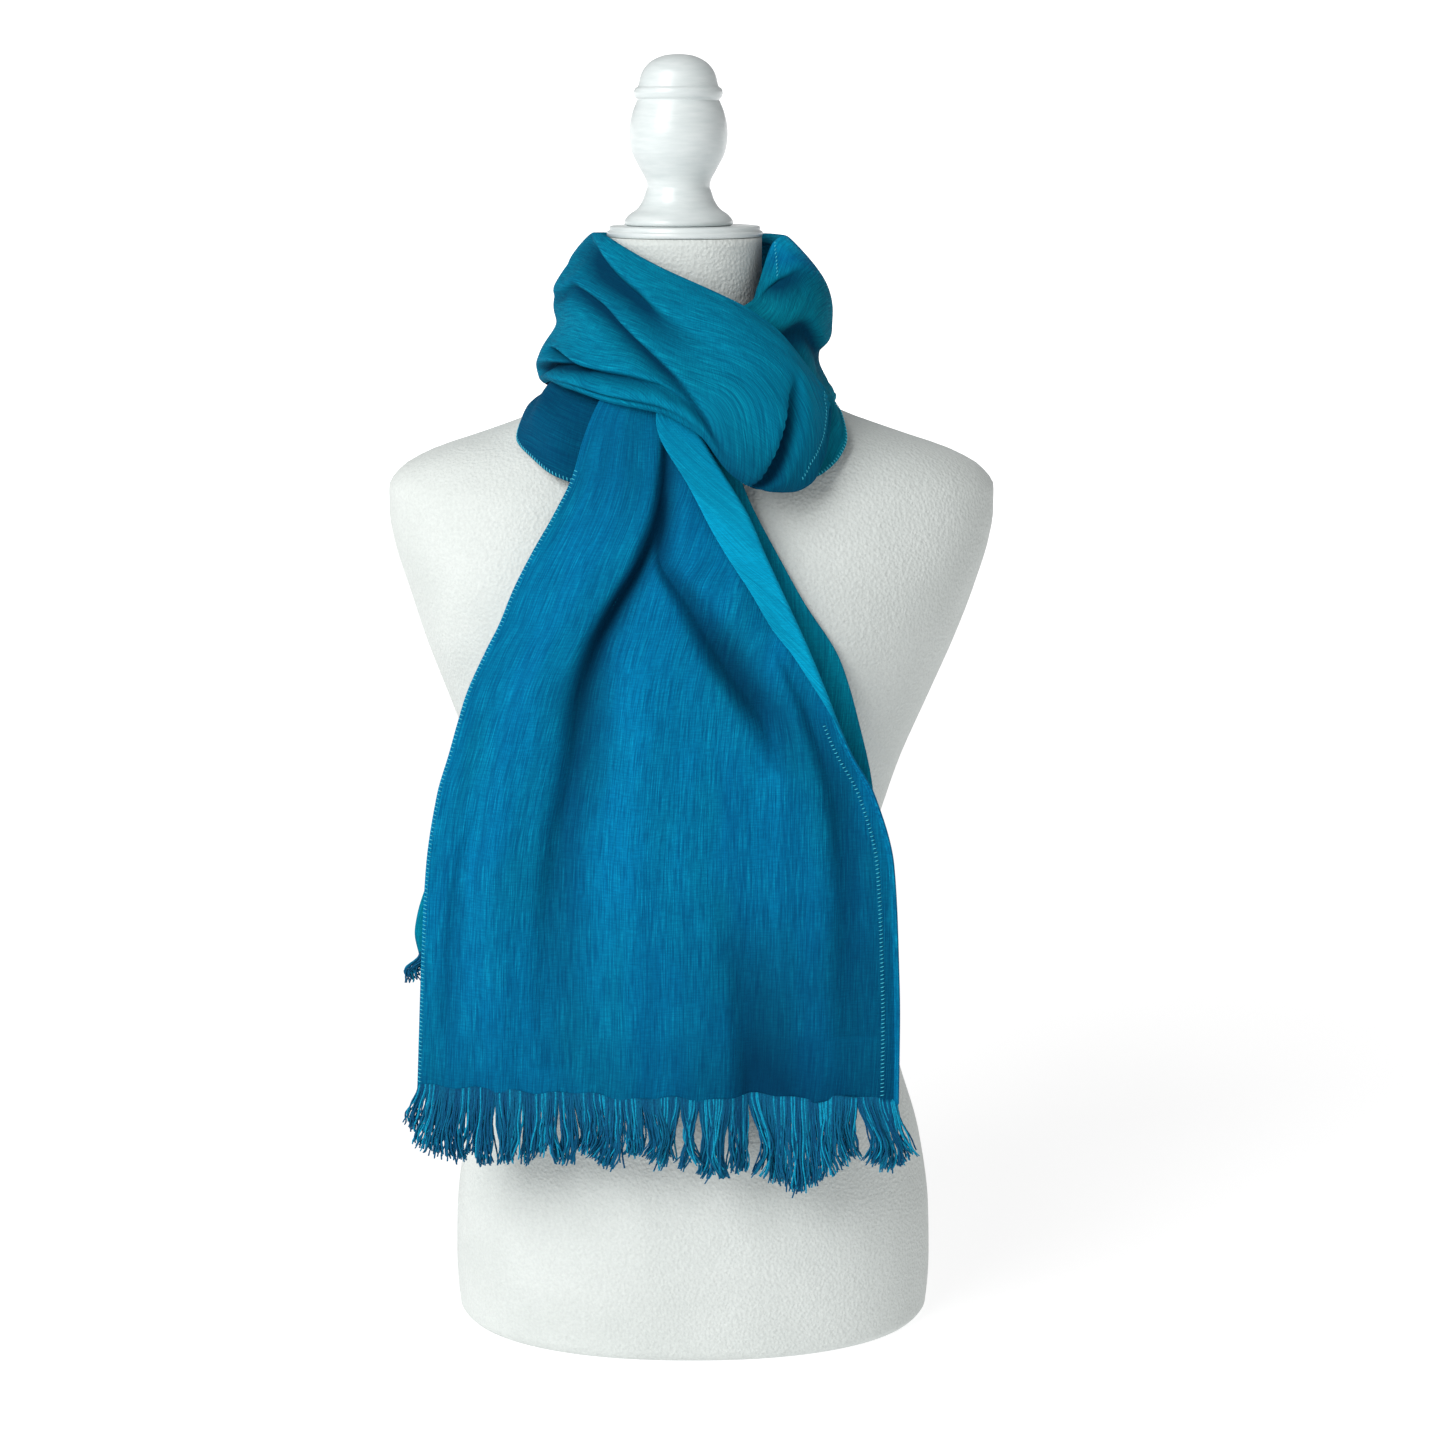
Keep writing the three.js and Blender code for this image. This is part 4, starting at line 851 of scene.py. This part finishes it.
def fringe(name, replaced, table, folds, drop, seed, material):
    """Loose yarns in locks below a cut edge, in three layers."""
    draw = np.random.default_rng(seed)
    foot = float(table.at[0])
    left = float(table("left", foot)) + FRINGE_MARGIN
    right = float(table("right", foot)) - FRINGE_MARGIN
    drops = Table(drop, ("share", "length"))
    count = int(3 * (right - left) / YARN_PITCH)
    levels, sides = YARN_STEPS
    points, faces, tones = [], [], []
    locks = yarn_locks(draw, left, right)
    t = np.linspace(0, 1, levels)
    for k in range(count):
        x = left + (right - left) * (k + 0.5) / count
        lock = next((one for one in locks if one["start"] <= x < one["end"]), locks[-1])
        middle = (lock["start"] + lock["end"]) / 2
        share = (x - left) / (right - left)
        flare = FLARE * (2 * share - 1) * abs(2 * share - 1) ** 5
        astray = 3.5 if draw.random() < STRAY_YARNS else 0.8
        length = float(drops("length", share)) + lock["longer"]
        length += draw.normal(0, 1.2) - abs(draw.normal(0, 2.0))
        tip_x = middle + (x - middle) * lock["close"] + lock["lean"] + flare + draw.normal(0, astray)
        layer = LAYER_GAP * (k % 3 - 1)
        tip_y = lock["lift"] + draw.normal(0, 1.2)
        curl = lock["curl"] + draw.normal(0, 0.7)
        start, waves = draw.uniform(0, 2 * math.pi), draw.uniform(1.0, 2.4)
        wave = YARN_WAVE * np.sin(waves * 2 * math.pi * t + start) * t
        root_y = float(end_depth(table, folds, np.array(x), np.array(foot)))
        path_x = x + (tip_x - x) * t**1.5 + curl * np.sin(math.pi * t) * t + wave
        path_y = root_y + layer * (0.5 + 0.6 * t) + tip_y * t**1.3 - 1.6 * np.sin(math.pi * t)
        path_z = foot - cut_edge(x) + 2.5 - (length + 2.5) * t
        radius = YARN_RADIUS * (1 - 0.15 * t**8) * (1 + 0.14 * np.sin(t * 46 + start))
        tone = 1.0 if draw.random() < BRIGHT_YARNS else draw.uniform(0, 0.3)
        base = len(points)
        for i in range(levels):
            for s in range(sides):
                angle = 2 * math.pi * s / sides
                ring_x = path_x[i] + radius[i] * math.cos(angle)
                ring_y = path_y[i] + radius[i] * math.sin(angle)
                points.append((ring_x, ring_y, path_z[i]))
                tones.append(tone)
        for i in range(levels - 1):
            for s in range(sides):
                p, q = base + i * sides + s, base + i * sides + (s + 1) % sides
                faces.append((p, p + sides, q + sides, q))
        faces.append(tuple(base + s for s in range(sides)))
        faces.append(tuple(base + (levels - 1) * sides + sides - 1 - s for s in range(sides)))
    piece = make_object(name, np.array(points) * MM, faces, material)
    piece.data.attributes.new("tone", "FLOAT", "POINT").data.foreach_set("value", tones)
    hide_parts(replaced)


def torso(material):
    """Jersey-covered torso: rounded rings with a depth of their own in front and behind."""
    table = Table(TORSO)
    rings, around = TORSO_STEPS
    z = np.concatenate([[0, 0.8, 2.2, 5], np.linspace(8, TORSO_TOP, rings)])
    turn = 2 * math.pi * np.arange(around)[None, :] / around
    power = 2 / TORSO_ROUND
    wide = np.sign(np.cos(turn)) * np.abs(np.cos(turn)) ** power
    deep = np.sign(np.sin(turn)) * np.abs(np.sin(turn)) ** power
    at = z[:, None]
    depth = np.where(deep < 0, table("front", at), table("back", at))
    points = np.stack([table("shift", at) + table("half", at) * wide, depth * deep, at + 0 * wide], -1)
    number = np.arange(len(z) * around).reshape(len(z), around)
    after = np.roll(number, -1, axis=1)
    faces = np.stack([number[:-1], after[:-1], after[1:], number[1:]], -1).reshape(-1, 4).tolist()
    faces.append(tuple(number[0][::-1]))
    faces.append(tuple(number[-1]))
    piece = make_object("torso_cover", points.reshape(-1, 3) * MM, faces, material)
    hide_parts("form_torso")


def lathe(name, replaced, outline, centre, material):
    """A turned part from its outline of radius and height, whose first and last points lie on the axis."""
    outline = np.array(outline, float)
    around = TURNED_STEPS
    turn = 2 * math.pi * np.arange(around) / around
    points, faces = [], []
    for radius, height in outline[1:-1]:
        points += [(centre + radius * math.cos(a), radius * math.sin(a), height) for a in turn]
    rings = len(outline) - 2
    for ring in range(rings - 1):
        for k in range(around):
            after = (k + 1) % around
            p, q = ring * around + k, ring * around + after
            faces.append((p, q, q + around, p + around))
    points += [(centre, 0, outline[0][1]), (centre, 0, outline[-1][1])]
    for k in range(around):
        after = (k + 1) % around
        faces.append((rings * around, after, k))
        faces.append((rings * around + 1, (rings - 1) * around + k, (rings - 1) * around + after))
    piece = make_object(name, np.array(points) * MM, faces, material)
    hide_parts(replaced)


def smooth_outline(points, per_span=6):
    """Smooth curve through the points of an outline, from its first to its last."""
    points = np.array(points, float)
    share = np.linspace(0, 1, (len(points) - 1) * per_span + 1)
    curve = spline(np.broadcast_to(points, (len(share),) + points.shape), share)
    curve[:, 0] = np.maximum(curve[:, 0], 0.01)
    curve[0], curve[-1] = points[0], points[-1]
    return curve.tolist()


def finial_outline():
    """A straight foot and three smooth stretches, which meet in creases."""
    body, bead, dome = (smooth_outline(part) for part in (FINIAL_BODY, FINIAL_BEAD, FINIAL_DOME))
    return FINIAL_FOOT[:-1] + body[:-1] + bead[:-1] + dome


def area_light(name, place, target, size, power, colour):
    light = bpy.data.lights.new(name, "AREA")
    light.shape = "DISK"
    light.size = size
    light.energy = power
    light.color = colour
    lamp = bpy.data.objects.new(name, light)
    lamp.location = place
    lamp.rotation_euler = (Vector(target) - Vector(place)).to_track_quat("-Z", "Y").to_euler()
    bpy.context.scene.collection.objects.link(lamp)


def plain_sheet(name, corners, base, glow):
    """A plain sheet of the studio, which glows a little so that it stays white."""
    material, tree, shader = start_material(name)
    shader.inputs["Base Color"].default_value = (*base, 1)
    shader.inputs["Roughness"].default_value = 0.9
    shader.inputs["Emission Color"].default_value = (1, 1, 1, 1)
    shader.inputs["Emission Strength"].default_value = glow
    mesh = bpy.data.meshes.new(name)
    mesh.from_pydata(corners, [], [(0, 1, 2, 3)])
    mesh.materials.append(material)
    sheet = bpy.data.objects.new(name, mesh)
    bpy.context.scene.collection.objects.link(sheet)


def stage_and_camera():
    """White floor and backdrop, soft light from the upper left, and the photo's view."""
    scene = bpy.context.scene
    reach, back, high = 7.0, 4.0, 1.2
    floor = [(-reach, -reach, 0), (reach, -reach, 0), (reach, back, 0), (-reach, back, 0)]
    wall = [(-reach, back, 0), (reach, back, 0), (reach, back, high), (-reach, back, high)]
    plain_sheet("studio_floor", floor, (0.3, 0.3, 0.3), 0.82)
    plain_sheet("studio_backdrop", wall, (0.5, 0.5, 0.5), 0.95)
    world = bpy.data.worlds.new("studio")
    scene.world = world
    world.use_nodes = True
    world.node_tree.nodes["Background"].inputs["Color"].default_value = (1, 1, 1, 1)
    world.node_tree.nodes["Background"].inputs["Strength"].default_value = 0.3
    sun = bpy.data.lights.new("sun", "SUN")
    sun.energy = 1.5
    sun.angle = math.radians(SUN_WIDTH)
    lamp = bpy.data.objects.new("sun", sun)
    lamp.rotation_euler = Vector(SUN_TOWARDS).to_track_quat("-Z", "Y").to_euler()
    scene.collection.objects.link(lamp)
    area_light("key", KEY_PLACE, KEY_TARGET, 1.1, 12, (1, 0.99, 0.97))
    scene.view_settings.view_transform = "Standard"
    scene.view_settings.look = "None"
    camera = bpy.data.cameras.new("camera")
    camera.sensor_width = 36
    camera.sensor_fit = "HORIZONTAL"
    camera.lens = CAMERA_LENS
    view = bpy.data.objects.new("camera", camera)
    view.location = CAMERA_PLACE
    view.rotation_euler = (math.radians(90 - CAMERA_TILT), 0, 0)
    scene.collection.objects.link(view)
    scene.camera = view


def hem_line(grid, column, inward_column, rows=slice(None)):
    """A hem's points, outward directions and inward directions from a grid's edge."""
    line = grid[rows, column]
    out = normals(grid)[rows, column]
    inward = grid[rows, inward_column] - line
    return line + out * (CLOTH + HEM_EXTRA) / 2, out, inward


def surface_line(grid, angles, path, step, count=80):
    """A line over a loop through (angle, share down) places, with outward and inward directions."""
    path = np.array(path, float)
    at = np.linspace(0, len(path) - 1, count)
    turn = np.interp(at, np.arange(len(path)), path[:, 0])
    share = np.interp(at, np.arange(len(path)), path[:, 1])
    row = np.interp(turn, angles[::-1], np.arange(len(angles))[::-1])
    column = share * (grid.shape[1] - 1)

    def pick(surface, r, c):
        i = np.clip(r.astype(int), 0, surface.shape[0] - 2)
        j = np.clip(c.astype(int), 0, surface.shape[1] - 2)
        u, v = (r - i)[:, None], (c - j)[:, None]
        top = surface[i, j] * (1 - v) + surface[i, j + 1] * v
        return top * (1 - u) + (surface[i + 1, j] * (1 - v) + surface[i + 1, j + 1] * v) * u

    out = pick(normals(grid), row, column)
    line = pick(grid, row, column) + out * (CLOTH / 2 + 0.1)
    inward = pick(grid, row + step[0], column + step[1]) - pick(grid, row, column)
    return line, out, inward


def all_stitches(front_grid, loop_grid, loop_angles, lower_grid, material):
    """Stitches along every hem that shows."""
    z = front_grid[:, 0, 2]
    fold = FRONT_FLAT - 1
    end_hem = [(53.5, 0.36), (51, 0.65), (46, 0.77), (38, 0.8), (34, 0.86)]
    wrap_hem = [(-294, 0.12), (-300, 0.2), (-306, 0.24)]
    wrap_angles = loop_angles + 360
    lines = [
        hem_line(front_grid, 0, 3, z < 606),
        hem_line(front_grid, -1, -4, z > 452),
        hem_line(front_grid, fold - 3, fold - 8, z < 448),
        surface_line(loop_grid, loop_angles, end_hem, (0, -3)),
        surface_line(loop_grid, loop_angles, wrap_hem, (-2, 0)),
        hem_line(loop_grid, -1, -3, (wrap_angles >= 40) & (wrap_angles <= 96)),
        hem_line(lower_grid, -1, -3),
    ]
    stitches("hem_stitches", lines, material)


stage_and_camera()
weave = cloth_material()
loose_yarn = yarn_material("scarf_yarn", YARN_COLOURS)
thread = yarn_material("scarf_thread", THREAD_COLOURS)
paint = paint_material()
torso(jersey_material())
lathe("neck_cap_turned", "form_neck_cap", CAP, NECK_X, paint)
lathe("finial_turned", "form_finial", finial_outline(), FINIAL_X, paint)
rear_table = rear_end(weave)
front_grid, front_table = front_end(weave)
loop_grid, loop_angles = scarf_loop(weave)
lower_grid = scarf_lower_loop(weave)
fringe("front_fringe", "fringe_front", front_table, FRONT_FOLDS, FRONT_DROP, 11, loose_yarn)
fringe("rear_fringe", "fringe_rear", rear_table, REAR_FOLDS, REAR_DROP, 12, loose_yarn)
all_stitches(front_grid, loop_grid, loop_angles, lower_grid, thread)
